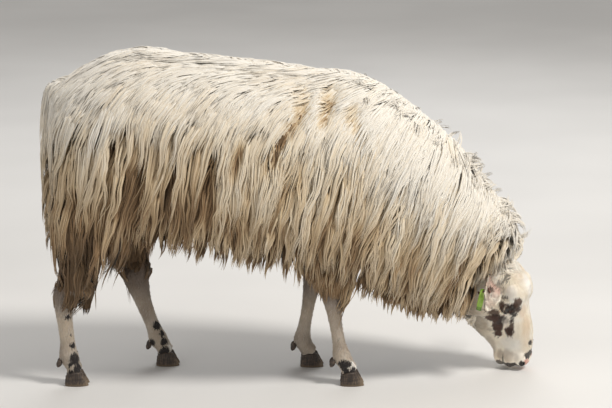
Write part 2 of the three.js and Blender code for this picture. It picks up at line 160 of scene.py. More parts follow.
area_light("key", (2.9, -1.75, 4.3), (0, 0, 0.4), 1.4, 205, (1, 0.965, 0.915))
area_light("fill", (-3.4, -3.2, 2.2), (0, 0, 0.4), 3.0, 22, (1, 0.98, 0.95))
area_light("back", (0.4, 3.4, 3.0), (0, 0, 0.5), 2.5, 45)
world = bpy.data.worlds.new("studio")
bpy.context.scene.world = world
world.use_nodes = True
world.node_tree.nodes["Background"].inputs["Color"].default_value = (1, 0.975, 0.945, 1)
world.node_tree.nodes["Background"].inputs["Strength"].default_value = 0.42


# ---- surfaces as tables ------------------------------------------------------------------------------
def between(rows, t):
    """Values between the rows of a table, on a smooth curve through them."""
    rows = np.asarray(rows, float)
    t = np.clip(np.asarray(t, float), 0, 1) * (len(rows) - 1)
    i = np.minimum(len(rows) - 2, np.floor(t).astype(int))
    f = (t - i)[..., None]
    at = lambda k: rows[np.clip(k, 0, len(rows) - 1)]
    p0, p1, p2, p3 = at(i - 1), at(i), at(i + 1), at(i + 2)
    m1, m2 = (p2 - p0) / 2, (p3 - p1) / 2
    return (2 * f**3 - 3 * f**2 + 1) * p1 + (f**3 - 2 * f**2 + f) * m1 + (-2 * f**3 + 3 * f**2) * p2 + (f**3 - f**2) * m2


def power(c, p):
    return np.sign(c) * np.abs(c) ** (2 / p)


def rings_at(rings, cap):
    """Where each ring lies along its table, with a rounded cap at either end."""
    j = np.arange(rings + 1, dtype=float)
    t = np.clip((j - cap) / (rings - 2 * cap), 0, 1)
    k = np.minimum(np.minimum(j, rings - j), cap) / cap
    size = np.sin(k * math.pi / 2)
    out = np.cos(k * math.pi / 2) * np.where(j < rings / 2, -1, 1)
    return t, size, out


def closed(points):
    """A closed mesh of triangles from a grid of rings, whose first and last rings are single points."""
    n, m = points.shape[:2]
    v = np.concatenate([points[:1, 0], points[1:-1].reshape(-1, 3), points[-1:, 0]])
    last = len(v) - 1
    a = np.arange(m)
    b = (a + 1) % m
    f = [np.stack([np.zeros(m, int), 1 + b, 1 + a], 1)]
    for r in range(n - 3):
        p, q = 1 + r * m, 1 + (r + 1) * m
        f.append(np.stack([p + a, p + b, q + b], 1))
        f.append(np.stack([p + a, q + b, q + a], 1))
    p = 1 + (n - 3) * m
    f.append(np.stack([p + a, p + b, np.full(m, last)], 1))
    return v, np.concatenate(f)


def barrel(rows, segments, rings, cap_a, cap_b, cap, y=0.0):
    t, size, out = rings_at(rings, cap)
    r = between(rows, t)
    a = np.arange(segments) / segments * 2 * math.pi
    tx, tz, bx, bz, half, widest, pt, pb = (r[:, i, None] for i in range(8))
    ux, uz = tx - bx, tz - bz
    height = np.hypot(ux, uz)
    ux, uz = ux / height, uz / height
    ax, az = uz, -ux
    c, l = np.cos(a)[None], np.sin(a)[None]
    p = np.where(c > 0, pt, pb)
    rise = np.where(c > 0, (1 - widest) * height, widest * height)
    size, out = size[:, None], out[:, None]
    o = out * np.where(out < 0, cap_a, cap_b)
    v = size * rise * power(c, p)
    x = bx + ux * widest * height + ax * o + ux * v
    z = bz + uz * widest * height + az * o + uz * v
    yy = y + size * half * power(l, p)
    return closed(np.stack([x, yy, z], -1))


def limb(rows, segments, rings, cap_a=10, cap_b=6, cap=3):
    t, size, out = rings_at(rings, cap)
    r = between(rows, t)
    along = between(rows, np.minimum(1, t + 0.02))[:, :3] - between(rows, np.maximum(0, t - 0.02))[:, :3]
    along /= np.linalg.norm(along, axis=1)[:, None]
    ahead = np.cross(along, [0, 1, 0])
    ahead /= np.linalg.norm(ahead, axis=1)[:, None]
    across = np.cross(ahead, along)
    a = np.arange(segments) / segments * 2 * math.pi
    c, l = np.cos(a)[None, :, None], np.sin(a)[None, :, None]
    p = r[:, 5][:, None, None]
    o = (out * np.where(out < 0, cap_a, cap_b))[:, None, None]
    pts = (
        r[:, None, :3]
        + along[:, None] * o
        + ahead[:, None] * (size * r[:, 3])[:, None, None] * power(c, p)
        + across[:, None] * (size * r[:, 4])[:, None, None] * power(l, p)
    )
    return closed(pts)


FLEECE = [
    [-552, 672, -552, 318, 112, 0.46, 2.2, 2.5],
    [-500, 704, -500, 300, 150, 0.45, 2.2, 2.6],
    [-430, 736, -430, 296, 171, 0.44, 2.2, 2.6],
    [-359, 747, -359, 296, 182, 0.43, 2.2, 2.6],
    [-270, 736, -270, 282, 196, 0.42, 2.2, 2.7],
    [-170, 725, -170, 262, 207, 0.41, 2.2, 2.7],
    [-70, 714, -70, 243, 209, 0.41, 2.2, 2.7],
    [20, 700, 20, 222, 204, 0.42, 2.2, 2.6],
    [104, 692, 100, 197, 194, 0.43, 2.2, 2.5],
    [194, 650, 138, 178, 180, 0.45, 2.2, 2.4],
    [278, 586, 188, 154, 163, 0.46, 2.2, 2.3],
    [342, 528, 236, 137, 150, 0.47, 2.2, 2.2],
    [390, 462, 274, 130, 138, 0.48, 2.2, 2.2],
    [436, 406, 303, 126, 126, 0.49, 2.1, 2.2],
    [468, 366, 320, 124, 114, 0.5, 2.1, 2.1],
    [478, 320, 333, 126, 100, 0.5, 2.1, 2.1],
    [454, 274, 347, 131, 85, 0.5, 2.1, 2.1],
]
TAIL = [
    [-556, 0, 652, 22, 28, 2.1],
    [-566, 0, 596, 26, 37, 2.1],
    [-569, 0, 515, 26, 43, 2.1],
    [-569, 1, 432, 27, 46, 2.1],
    [-569, 2, 355, 26, 43, 2.1],
    [-565, 3, 305, 18, 31, 2.1],
    [-562, 4, 282, 9, 15, 2.1],
]
GROIN = [
    [-478, -8, 350, 32, 30, 2.1],
    [-490, -10, 300, 40, 38, 2.1],
    [-497, -12, 245, 39, 36, 2.1],
    [-498, -13, 200, 32, 30, 2.1],
    [-496, -13, 164, 19, 19, 2.1],
]
LEGS = {
    "hind_right": [
        [-486, -92, 400, 88, 62, 2.1], [-491, -94, 330, 90, 62, 2.1], [-496, -96, 285, 82, 56, 2.1],
        [-510, -96, 250, 60, 43, 2.1], [-531, -94, 225, 36, 27, 2.1], [-541, -92, 200, 26, 20, 2.1],
        [-540, -91, 165, 20.5, 16.5, 2.1], [-536, -90, 125, 18.5, 15.5, 2.1], [-533, -90, 92, 19, 16.5, 2.1],
        [-531, -90, 66, 23.5, 21.5, 2.1], [-522, -90, 46, 20, 20.5, 2.1], [-513, -90, 30, 25, 23, 2.1],
    ],
    "hind_left": [
        [-440, 92, 400, 86, 62, 2.1], [-424, 92, 335, 84, 60, 2.1], [-402, 88, 285, 64, 46, 2.1],
        [-386, 82, 243, 44, 33, 2.1], [-390, 78, 212, 34, 24, 2.1], [-386, 75, 190, 28, 20, 2.1],
        [-374, 73, 150, 21, 17, 2.1], [-361, 71, 114, 18, 15.5, 2.1], [-349, 70, 84, 19, 16.5, 2.1],
        [-341, 70, 62, 23, 21.5, 2.1], [-329, 70, 44, 20, 20.5, 2.1], [-318, 70, 29, 25, 23, 2.1],
    ],
    "fore_right": [
        [52, -104, 330, 56, 44, 2.1], [52, -100, 280, 42, 34, 2.1], [54, -96, 240, 28, 24, 2.1],
        [57, -94, 210, 24.5, 22, 2.1], [61, -93, 184, 21, 19.5, 2.1], [65, -92, 150, 16.8, 15.5, 2.1],
        [70, -91, 118, 15.8, 15, 2.1], [75, -90, 90, 17.4, 16.5, 2.1], [80, -90, 66, 22, 21.5, 2.1],
        [91, -90, 46, 19.5, 20.5, 2.1], [102, -90, 30, 24.5, 23, 2.1],
    ],
    "fore_left": [
        [28, 102, 330, 56, 44, 2.1], [26, 94, 280, 40, 34, 2.1], [21, 84, 236, 27, 24, 2.1],
        [17, 78, 206, 24, 22, 2.1], [12, 74, 180, 20.5, 19.5, 2.1], [6, 70, 146, 16.8, 15.5, 2.1],
        [0, 66, 112, 15.8, 15, 2.1], [-5, 64, 84, 17.6, 16.5, 2.1], [-8, 63, 61, 22, 21.5, 2.1],
        [1, 62, 43, 19.5, 20.5, 2.1], [12, 62, 29, 24.5, 23, 2.1],
    ],
}
FEET = {"hind_right": (-513, -90), "hind_left": (-318, 70), "fore_right": (104, -90), "fore_left": (14, 62)}
FETLOCK = {
    "hind_right": (-531, -90, 66),
    "hind_left": (-341, 70, 62),
    "fore_right": (80, -90, 66),
    "fore_left": (-8, 63, 61),
}
SKULL = [
    [2, -50, 2, -132, 40, 0.5, 2.2, 2.2],
    [22, -26, 22, -158, 50, 0.55, 2.2, 2.2],
    [46, -8, 46, -172, 54, 0.6, 2.2, 2.2],
    [72, -1, 72, -178, 55, 0.62, 2.2, 2.1],
    [98, -7, 98, -178, 54, 0.62, 2.1, 2.1],
    [124, -6, 124, -173, 50, 0.62, 2.0, 2.1],
    [150, -1, 150, -160, 45, 0.6, 2.0, 2.1],
    [176, 2, 176, -137, 39, 0.58, 2.0, 2.1],
    [202, 1, 202, -109, 34, 0.54, 2.0, 2.1],
    [222, -3, 222, -94, 32, 0.5, 2.1, 2.2],
    [238, -11, 238, -90, 33, 0.5, 2.3, 2.3],
    [249, -24, 249, -82, 27, 0.5, 2.3, 2.3],
]


# ---- distance fields -----------------------------------------------------------------------------------
class Field:
    """A distance sampled on an even grid."""

    def __init__(self, values, origin, step):
        self.v, self.o, self.h = np.ascontiguousarray(values, np.float32), np.asarray(origin, float), step
        self.n = np.array(self.v.shape)
        self.hi = self.o + (self.n - 1) * step

    def __call__(self, p):
        q = (p - self.o) / self.h
        c = np.clip(q, 0, self.n - 1.001)
        beyond = np.sqrt((((q - c) * self.h) ** 2).sum(1))
        i = c.astype(np.int64)
        f = (c - i).astype(np.float32)
        g = 1 - f
        flat = self.v.ravel()
        sy, sx = self.n[2], self.n[2] * self.n[1]
        k = i[:, 0] * sx + i[:, 1] * sy + i[:, 2]
        x0 = (flat[k] * g[:, 2] + flat[k + 1] * f[:, 2]) * g[:, 1] + (flat[k + sy] * g[:, 2] + flat[k + sy + 1] * f[:, 2]) * f[:, 1]
        k = k + sx
        x1 = (flat[k] * g[:, 2] + flat[k + 1] * f[:, 2]) * g[:, 1] + (flat[k + sy] * g[:, 2] + flat[k + sy + 1] * f[:, 2]) * f[:, 1]
        return x0 * g[:, 0] + x1 * f[:, 0] + np.where(beyond > 1e-9, beyond, 0)


def mesh_field(mesh, step, out, inside):
    v, f = mesh
    grid = vdb.FloatGrid.createLevelSetFromPolygons(
        np.ascontiguousarray(v, np.float32),
        triangles=np.ascontiguousarray(f, np.uint32),
        transform=vdb.createLinearTransform(step),
        exBandWidth=out / step,
        inBandWidth=inside / step,
    )
    a = np.floor(v.min(0) / step).astype(int) - int(out / step) - 1
    b = np.ceil(v.max(0) / step).astype(int) + int(out / step) + 1
    values = np.empty(tuple(b - a + 1), np.float32)
    grid.copyToArray(values, ijk=tuple(int(x) for x in a))
    return Field(values, a * step, step)


def metres(mesh, shift=True):
    return mesh[0] / 1000 + (SHIFT if shift else 0), mesh[1]


def blur(a, times):
    for _ in range(times):
        for ax in range(3):
            b = np.swapaxes(a, 0, ax).copy()
            b[1:-1] = (b[:-2] + 2 * b[1:-1] + b[2:]) / 4
            a = np.swapaxes(b, 0, ax)
    return a


def smin(a, b, k):
    h = np.maximum(k - np.abs(a - b), 0) / k
    return np.minimum(a, b) - h * h * k * 0.25


def smax(a, b, k):
    return -smin(-a, -b, k)


def smooth(x, a, b):
    t = np.clip((x - a) / (b - a), 0, 1)
    return t * t * (3 - 2 * t)


fleece = mesh_field(metres(barrel(FLEECE, 120, 160, 24, 8, 6)), 0.006, 0.06, 0.13)
gz, gy, gx = np.gradient(fleece.v, 0.006)[::-1]
norm = np.sqrt(gx**2 + gy**2 + gz**2) + 1e-6
nz = blur(gz / norm, 2)
X = (fleece.o[0] + np.arange(fleece.n[0]) * 0.006 - SHIFT[0])[:, None, None]
trunkness = 1 - smooth(X, 0.08, 0.24)
depth = np.where(nz > 0, 0.052 - 0.022 * smooth(nz, 0.2, 0.95), 0.052 - (0.034 * trunkness + 0.004 * (1 - trunkness)) * nz)
depth = depth - 0.006 * (1 - trunkness) - 0.012 * smooth(-X, 0.44, 0.52)
Y = (fleece.o[1] + np.arange(fleece.n[1]) * 0.006 - SHIFT[1])[None, :, None]
depth = depth - 0.017 * np.exp(-((Y / 0.06) ** 2)) * smooth(nz, 0.2, 0.7) * smooth(X, -0.02, 0.10)
body_field = Field(blur(fleece.v + depth, 2), fleece.o, 0.006)
leg_fields = {n: mesh_field(metres(limb(r, 48, 110, 20, 4, 5)), 0.0025, 0.035, 0.05) for n, r in LEGS.items()}
tail_field = mesh_field(metres(limb(TAIL, 40, 60, 14, 12, 4)), 0.004, 0.04, 0.03)
groin_field = mesh_field(metres(limb(GROIN, 40, 40, 12, 12, 4)), 0.004, 0.04, 0.03)
skull_field = mesh_field((lambda m: (m[0] / 1000, m[1]))(barrel(SKULL, 96, 130, 12, 7, 6)), 0.0018, 0.03, 0.03)

EARS = {
    "right": dict(side=-1, run=[-0.1, -0.92, -0.37], hollow=[0.7, -0.42, 0.5], curl=9),
    "left": dict(side=1, run=[0.64, 0.76, 0.14], hollow=[0.85, -0.15, -0.4], curl=32),
}
EAR_LONG, EAR_WIDE, EAR_THICK = 104.0, 54.0, 4.4


def ear_axes(e):
    x = np.array(e["run"], float)
    x /= np.linalg.norm(x)
    z = np.array(e["hollow"], float)
    z -= x * (x @ z)
    z /= np.linalg.norm(z)
    return x, np.cross(z, x), z


def ear_root(e):
    return from_head(np.array([39, e["side"] * 47, -79]) / 1000)


def ear_mesh(e):
    rings, segments = 72, 64
    s = np.linspace(0, 1, rings + 1)[:, None]
    a = (np.arange(segments) / segments * 2 * math.pi)[None]
    inside = ((s > 1e-3) & (s < 1 - 1e-3)).astype(float)
    at = s * EAR_LONG + 0 * a
    wide = inside * (EAR_WIDE / 2) * np.sin(math.pi * (0.17 + 0.83 * s) ** 0.86) ** 0.62
    thick = inside * (EAR_THICK / 2) * (1.8 - 0.85 * s)
    w = wide * np.cos(a)
    cup = (0.01 + 0.012 * (1 - s) ** 1.2) * w * w - e["curl"] * s**2
    p = np.stack([at, w, cup + thick * power(np.sin(a), 2.6)], -1) / 1000
    x, y, z = ear_axes(e)
    return closed(p @ np.stack([x, y, z]) + ear_root(e))


ear_fields = {n: mesh_field(ear_mesh(e), 0.0011, 0.012, 0.006) for n, e in EARS.items()}


def ellipsoid(p, c, r, turn=0.0, lean=0.0):
    """Distance, near enough, from an ellipsoid given in head millimetres. turn is about Y and lean about X, in degrees."""
    q = (p - np.asarray(c, float) / 1000) @ (rot("y", turn) @ rot("x", lean))
    r = np.asarray(r, float) / 1000
    k0 = np.sqrt(((q / r) ** 2).sum(1))
    k1 = np.sqrt(((q / r**2) ** 2).sum(1)) + 1e-9
    return k0 * (k0 - 1) / k1


LID_AXIS = np.array([0.16, 0.93, 0.33])  # the way the near-closed eye faces, for the left eye
LID_AXIS /= np.linalg.norm(LID_AXIS)
LID_ALONG = np.array([0.9, 0.0, -0.44])
LID_ALONG -= LID_AXIS * (LID_AXIS @ LID_ALONG)
LID_ALONG /= np.linalg.norm(LID_ALONG)
LID_UP = np.cross(LID_AXIS, LID_ALONG)
if LID_UP[2] < 0:
    LID_UP = -LID_UP


def head_distance(q):
    """q in head metres."""
    m = q.copy()
    m[:, 1] = np.abs(m[:, 1])
    d = skull_field(q) + 0.0012
    d = smin(d, ellipsoid(m, (88, 40, -27), (27, 17, 17), 12), 0.014)  # brow
    d = smin(d, ellipsoid(m, (63, 41, -31), (19, 14.5, 17), 6), 0.006)  # the rounded rim over it
    d = smin(d, ellipsoid(m, (112, 42, -62), (28, 11, 14), 20), 0.012)  # cheekbone
    d = smin(d, ellipsoid(m, (94, 40, -112), (42, 14, 42)), 0.026)  # cheek muscle
    d = smin(d, ellipsoid(m, (40, 42, -74), (17, 14, 17)), 0.012)  # root of the ear
    d = smin(d, ellipsoid(m, (237, 19, -21), (16, 12, 13), 20), 0.009)  # wing of the nose
    d = smin(d, ellipsoid(m, (243, 0, -26), (15, 20, 19)), 0.010)  # nose pad
    d = smin(d, ellipsoid(m, (238, 14, -74), (17, 15, 12), -6), 0.008)  # chin
    d = smin(d, ellipsoid(m, (238, 19, -48), (20, 15, 12), 0), 0.008)  # upper lip
    d = smax(d, -ellipsoid(m, (168, 47, -52), (40, 14, 14), 6), 0.016)  # hollow in front of the cheekbone
    d = smax(d, -ellipsoid(m, (150, 40, -118), (26, 12, 16), 30), 0.02)  # hollow before the jaw muscle
    # eye: lids as a thin shell round the ball, a crease above and a bag below
    c = m - [EYE[0], -EYE[1], EYE[2]]
    r = np.sqrt((c**2).sum(1))
    a, u, o = c @ LID_ALONG, c @ LID_UP, c @ LID_AXIS
    front = smooth(o, -0.002, 0.008)
    d = smin(d, r - 0.0163, 0.009)
    d = d + 0.0016 * np.exp(-(((r - 0.0195) / 0.0017) ** 2)) * front * smooth(u, -0.001, 0.006)
    d = d + 0.0012 * np.exp(-(((r - 0.0205) / 0.0018) ** 2)) * front * smooth(-u, 0.004, 0.010)
    arch = 0.0016 - 14.0 * a * a
    slit = np.sqrt((a / 0.0130) ** 2 + ((u + 0.0035 - arch * 0.6) / 0.0022) ** 2 + ((o - 0.015) / 0.0095) ** 2)
    d = smax(d, (1 - slit) * 0.003, 0.0012)
    d = np.maximum(d, 0.01415 - r)
    tear = ellipsoid(m, (118, 49.5, -50), (7, 3, 1.8), 28)
    d = smax(d, -tear, 0.003)
    # nostrils, the groove between them, and the mouth
    d = smax(d, -ellipsoid(m, (250, 16.5, -19), (10, 3.0, 5.6), -35, 18), 0.003)
    d = smax(d, -ellipsoid(m, (243, 24, -14), (9, 2.4, 2.8), -20, 8), 0.0025)
    d = smax(d, -ellipsoid(m, (261, 0, -34), (6.5, 0.9, 13), 8), 0.003)
    lip = 0.0012 * np.exp(-(((m[:, 2] + 0.0605 + 0.10 * (m[:, 0] - 0.23)) / 0.0016) ** 2))
    lip *= smooth(m[:, 0], 0.196, 0.212)
    d = d + lip
    return d


def box_mask(p, a, b):
    return ((p > a) & (p < b)).all(1)


def capsule(p, a, b, r):
    t = np.clip((p - a) @ (b - a) / ((b - a) @ (b - a)), 0, 1)[:, None]
    return np.linalg.norm(p - a - t * (b - a), axis=1) - r


DOCK = place([[-566, 0, 606], [-490, 0, 660]])
HEAD_BOX = (HO + np.array([-0.24, -0.17, -0.30]), HO + np.array([0.07, 0.17, 0.08]))
LEG_LINE = {"hind_right": (0.212, 0.262, 0.030), "hind_left": (0.205, 0.262, 0.026), "fore_right": (0.235, 0.30, 0.020), "fore_left": (0.235, 0.30, 0.020)}


def skin_distance(p):
    """Signed distance to the skin, near enough, at points in the row frame."""
    d = body_field(p).astype(float)
    for n, f in leg_fields.items():
        m = box_mask(p, f.o, f.hi)
        if m.any():
            z0, z1, deep = LEG_LINE[n]
            q = p[m]
            e = f(q) + 0.0028 + deep * smooth(q[:, 2], z0, z1)
            toe = FEET[n][0] / 1000 + SHIFT[0] + 0.0125 - 0.23 * (q[:, 2] - 0.031)
            e = smax(e, (q[:, 0] - toe) * 0.97 - 0.06 * smooth(q[:, 2], 0.050, 0.085), 0.010)
            d[m] = smin(d[m], e, 0.03)
    m = box_mask(p, DOCK[0] - 0.06, DOCK[0] + 0.09)
    if m.any():
        d[m] = smin(d[m], capsule(p[m], DOCK[0], DOCK[1], 0.017), 0.03)
    for f, deep, k in ((tail_field, 0.015, 0.02), (groin_field, 0.019, 0.02)):
        m = box_mask(p, f.o, f.hi)
        if m.any():
            d[m] = smin(d[m], f(p[m]) + deep, k)
    m = box_mask(p, *HEAD_BOX)
    if m.any():
        q = to_head(p[m])
        d[m] = smin(smin(d[m], ellipsoid(q, (-38, 0, -50), (19, 32, 21)), 0.02), head_distance(q), 0.03)
        for n, f in ear_fields.items():
            b = box_mask(p, f.o, f.hi)
            if b.any():
                d[b] = smin(d[b], f(p[b]), 0.005)
    return d


def gradient(fn, p, e=0.0008):
    g = np.empty_like(p)
    for i in range(3):
        s = np.zeros(3)
        s[i] = e
        g[:, i] = (fn(p + s) - fn(p - s)) / (2 * e)
    return g


def unit(v):
    return v / (np.linalg.norm(v, axis=-1, keepdims=True) + 1e-12)


# ---- skin mesh: a surface net over an uneven grid, fine at the head and the legs ---------------------
def axis(*spans):
    out = []
    for a, b, step in spans:
        n = max(1, int(round((b - a) / step)))
        out.append(np.linspace(a, b, n, endpoint=False))
    out.append([spans[-1][1]])
    return np.concatenate(out)


def surface_net(gx, gy, gz, fn, block=4):
    n = [len(gx), len(gy), len(gz)]
    sub = [np.unique(np.append(np.arange(0, m, block), m - 1)) for m in n]
    A, B, C = np.meshgrid(gx[sub[0]], gy[sub[1]], gz[sub[2]], indexing="ij")
    coarse = fn(np.stack([A.ravel(), B.ravel(), C.ravel()], 1)).reshape(A.shape)
    spans = [np.diff(g[s]) for g, s in zip((gx, gy, gz), sub)]
    diag = np.sqrt(spans[0][:, None, None] ** 2 + spans[1][None, :, None] ** 2 + spans[2][None, None] ** 2)
    corner = [coarse[i : i + A.shape[0] - 1, j : j + A.shape[1] - 1, k : k + A.shape[2] - 1] for i in (0, 1) for j in (0, 1) for k in (0, 1)]
    near = np.min(np.abs(corner), axis=0) < diag * 0.85
    keep = np.zeros(n, bool)
    value = np.empty(n, np.float32)
    idx = [np.minimum(np.arange(m) // block, len(s) - 2) for m, s in zip(n, sub)]
    value[:] = corner[0][np.ix_(*idx)]
    keep[:] = near[np.ix_(*idx)]
    for ax in range(3):
        k2 = keep.copy()
        a = [slice(None)] * 3
        b = [slice(None)] * 3
        a[ax], b[ax] = slice(1, None), slice(None, -1)
        k2[tuple(a)] |= keep[tuple(b)]
        k2[tuple(b)] |= keep[tuple(a)]
        keep = k2
    I = np.nonzero(keep)
    pts = np.stack([gx[I[0]], gy[I[1]], gz[I[2]]], 1)
    vals = np.concatenate([fn(pts[s : s + 400000]) for s in range(0, len(pts), 400000)])
    value[I] = vals
    neg = value < 0
    c = [neg[i : n[0] - 1 + i, j : n[1] - 1 + j, k : n[2] - 1 + k] for i in (0, 1) for j in (0, 1) for k in (0, 1)]
    count = np.sum(c, axis=0)
    act = np.nonzero((count > 0) & (count < 8))
    ids = np.full([m - 1 for m in n], -1, np.int64)
    ids[act] = np.arange(len(act[0]))
    acc = np.zeros((len(act[0]), 3))
    num = np.zeros(len(act[0]))
    g = (gx, gy, gz)
    for ax in range(3):
        o1, o2 = [a for a in range(3) if a != ax]
        for i in (0, 1):
            for j in (0, 1):
                p = [act[0].copy(), act[1].copy(), act[2].copy()]
                p[o1] += i
                p[o2] += j
                q = [p[0].copy(), p[1].copy(), p[2].copy()]
                q[ax] += 1
                d0, d1 = value[tuple(p)], value[tuple(q)]
                cross = (d0 < 0) != (d1 < 0)
                t = np.where(cross, d0 / np.where(cross, d0 - d1, 1), 0)
                w = np.stack([g[a][p[a]] for a in range(3)], 1)
                w[:, ax] += t * (g[ax][q[ax]] - g[ax][p[ax]])
                acc += w * cross[:, None]
                num += cross
    verts = acc / num[:, None]
    faces = []
    for ax in range(3):
        o1, o2 = [a for a in range(3) if a != ax]
        s0 = [slice(None)] * 3
        s1 = [slice(None)] * 3
        s0[ax], s1[ax] = slice(None, -1), slice(1, None)
        a, b = neg[tuple(s0)], neg[tuple(s1)]
        e = np.nonzero(a != b)
        ok = (e[o1] > 0) & (e[o2] > 0) & (e[o1] < n[o1] - 1) & (e[o2] < n[o2] - 1)
        e = [x[ok] for x in e]
        first = a[tuple(e)]

        def cell(i, j):
            c = [x.copy() for x in e]
            c[o1] -= i
            c[o2] -= j
            return ids[tuple(c)]

        quad = np.stack([cell(1, 1), cell(0, 1), cell(0, 0), cell(1, 0)], 1)
        flip = first if ax != 1 else ~first
        quad[~flip] = quad[~flip][:, ::-1]
        faces.append(quad)
    return verts, np.concatenate(faces)


sx = SHIFT[0]
gx = axis(
    (-0.56 + sx, -0.30 + sx, 0.0056),
    (-0.30 + sx, -0.03 + sx, 0.0090),
    (-0.03 + sx, 0.13 + sx, 0.0048),
    (0.13 + sx, 0.32 + sx, 0.0090),
    (0.32 + sx, 0.40 + sx, 0.0035),
    (0.40 + sx, 0.59 + sx, 0.0021),
)
gy = axis((-0.19, -0.12, 0.0052), (-0.12, -0.045, 0.0024), (-0.045, 0.045, 0.0031), (0.045, 0.115, 0.0035), (0.115, 0.19, 0.0052))
gz = axis((0.004, 0.10, 0.0023), (0.10, 0.28, 0.0026), (0.28, 0.34, 0.005), (0.34, 0.72, 0.0100))
verts, quads = surface_net(gx, gy, gz, skin_distance)


def neighbours_mean(v, f):
    s = np.zeros_like(v)
    n = np.zeros(len(v))
    for i in range(4):
        a, b = f[:, i], f[:, (i + 1) % 4]
        for k in range(3):
            s[:, k] += np.bincount(a, v[b, k], len(v)) + np.bincount(b, v[a, k], len(v))
        n += np.bincount(a, minlength=len(v)) + np.bincount(b, minlength=len(v))
    return s / n[:, None]


for it in range(3):
    m = neighbours_mean(verts, quads)
    g = unit(gradient(skin_distance, verts))
    move = (m - verts) * 0.6
    move -= g * (move * g).sum(1)[:, None]
    verts = verts + move
    d = skin_distance(verts)
    verts = verts - g * np.clip(d, -0.004, 0.004)[:, None]
skin_normal = unit(gradient(skin_distance, verts))
skin = mesh_object("skin", verts, quads)
for n in ["trunk", "neck", "tail", "groin_wool", "head", "ear_right", "ear_left"] + ["leg_" + k for k in LEGS]:
    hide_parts(n)
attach(skin, "root")


# ---- the coat's outer limit and the way it lies ----------------------------------------------------------
rng = np.random.default_rng(20)
LATTICE = np.random.default_rng(5).uniform(-1, 1, (4, 32, 32, 32))


def noise(p, size, which=0):
    """Smooth noise from -1 to 1, with features about `size` metres across."""
    q = p / size + 100.0
    i = np.floor(q).astype(int)
    f = q - i
    f = f * f * (3 - 2 * f)
    lat = LATTICE[which]
    out = 0
    for a in (0, 1):
        for b in (0, 1):
            for c in (0, 1):
                w = (f[:, 0] if a else 1 - f[:, 0]) * (f[:, 1] if b else 1 - f[:, 1]) * (f[:, 2] if c else 1 - f[:, 2])
                out = out + w * lat[(i[:, 0] + a) % 32, (i[:, 1] + b) % 32, (i[:, 2] + c) % 32]
    return out


OUT_O = place([-650, -270, 60])
OUT_N = (201, 91, 128)
OUT_H = 0.0062
axes = [OUT_O[i] + OUT_H * np.arange(OUT_N[i]) for i in range(3)]
G = np.stack(np.meshgrid(*axes, indexing="ij"), -1).reshape(-1, 3)
out = fleece(G)
for f in list(leg_fields.values()) + [tail_field, groin_field]:
    m = box_mask(G, f.o, f.hi)
    out[m] = smin(out[m], f(G[m]), 0.03)
for side in (-1, 1):
    c = place([402, -6 + side * 94, 206])
    m = box_mask(G, c - 0.1, c + 0.1)
    q = (G[m] - c) @ rot("y", -53)
    r = np.array([0.062, 0.048, 0.034])
    k0, k1 = np.sqrt(((q / r) ** 2).sum(1)), np.sqrt(((q / r**2) ** 2).sum(1)) + 1e-9
    out[m] = smax(out[m], -(k0 * (k0 - 1) / k1), 0.012)
outer = Field(blur(out.reshape(OUT_N), 1), OUT_O, OUT_H)
g3 = np.gradient(outer.v, OUT_H)
n3 = [blur(a, 2) for a in g3]
normal_fields = [Field(a, OUT_O, OUT_H) for a in n3]
del G, out


def outward(p):
    return unit(np.stack([f(p) for f in normal_fields], 1))


ROW_T = np.linspace(0, 1, 200)
ROWS = between(FLEECE, ROW_T)
MID_X = (ROWS[:, 0] + ROWS[:, 2]) / 2000
order = np.argsort(MID_X)


def height(p):
    """0 at the hem to 1 along the back, and the way along the fleece from the rump (0) to the collar (1)."""
    q = p - SHIFT
    # nearest section, allowing for the lean of the sections in the neck
    mid = np.stack([(ROWS[:, 0] + ROWS[:, 2]) / 2, (ROWS[:, 1] + ROWS[:, 3]) / 2], 1) / 1000
    up = np.stack([ROWS[:, 0] - ROWS[:, 2], ROWS[:, 1] - ROWS[:, 3]], 1) / 1000
    high = np.linalg.norm(up, axis=1)
    up = up / high[:, None]
    ahead = np.stack([up[:, 1], -up[:, 0]], 1)
    best = np.full(len(q), 1e9)
    t = np.zeros(len(q))
    h = np.zeros(len(q))
    for i in range(0, 200, 2):
        dx, dz = q[:, 0] - mid[i, 0], q[:, 2] - mid[i, 1]
        off = np.abs(dx * ahead[i, 0] + dz * ahead[i, 1])
        rise = dx * up[i, 0] + dz * up[i, 1]
        cost = off + 0.05 * np.abs(rise) / high[i] * 0.2 + np.maximum(np.abs(rise) - high[i] * 0.75, 0)
        m = cost < best
        best[m] = cost[m]
        t[m] = ROW_T[i]
        h[m] = (rise / high[i] + 0.5)[m]
    return np.clip(h, -0.3, 1.2), t


def lie(p, n):
    """The way the wool lies at p, whose outward normal is n: down, and back towards the rump."""
    q = p - SHIFT
    x, z = q[:, 0], q[:, 2]
    h, t = height(p)
    back = 1 - smooth(x, -0.16, 0.24)
    neck = smooth(x, 0.34, 0.46)
    slant = 0.22 + 0.08 * noise(p, 0.16, 1)
    slant = slant + 0.42 * smooth(h, 0.60, 0.86) + 0.85 * back * smooth(h, 0.82, 0.97)
    slant = slant + 0.16 * smooth(x, 0.02, 0.22) + 0.40 * neck
    slant = slant * (1 - 0.75 * smooth(-x, 0.46, 0.55))
    slant = slant - 0.1 * smooth(0.3 - h, 0.0, 0.2) * back
    v = np.stack([-slant, np.zeros(len(p)), -np.ones(len(p))], 1)
    v[:, 1] += 0.10 * noise(p, 0.11, 2) + 0.45 * np.clip(q[:, 1] / 0.03, -1, 1) * smooth(n[:, 2], 0.6, 1.0) * (0.4 + 0.6 * (1 - back))
    return v


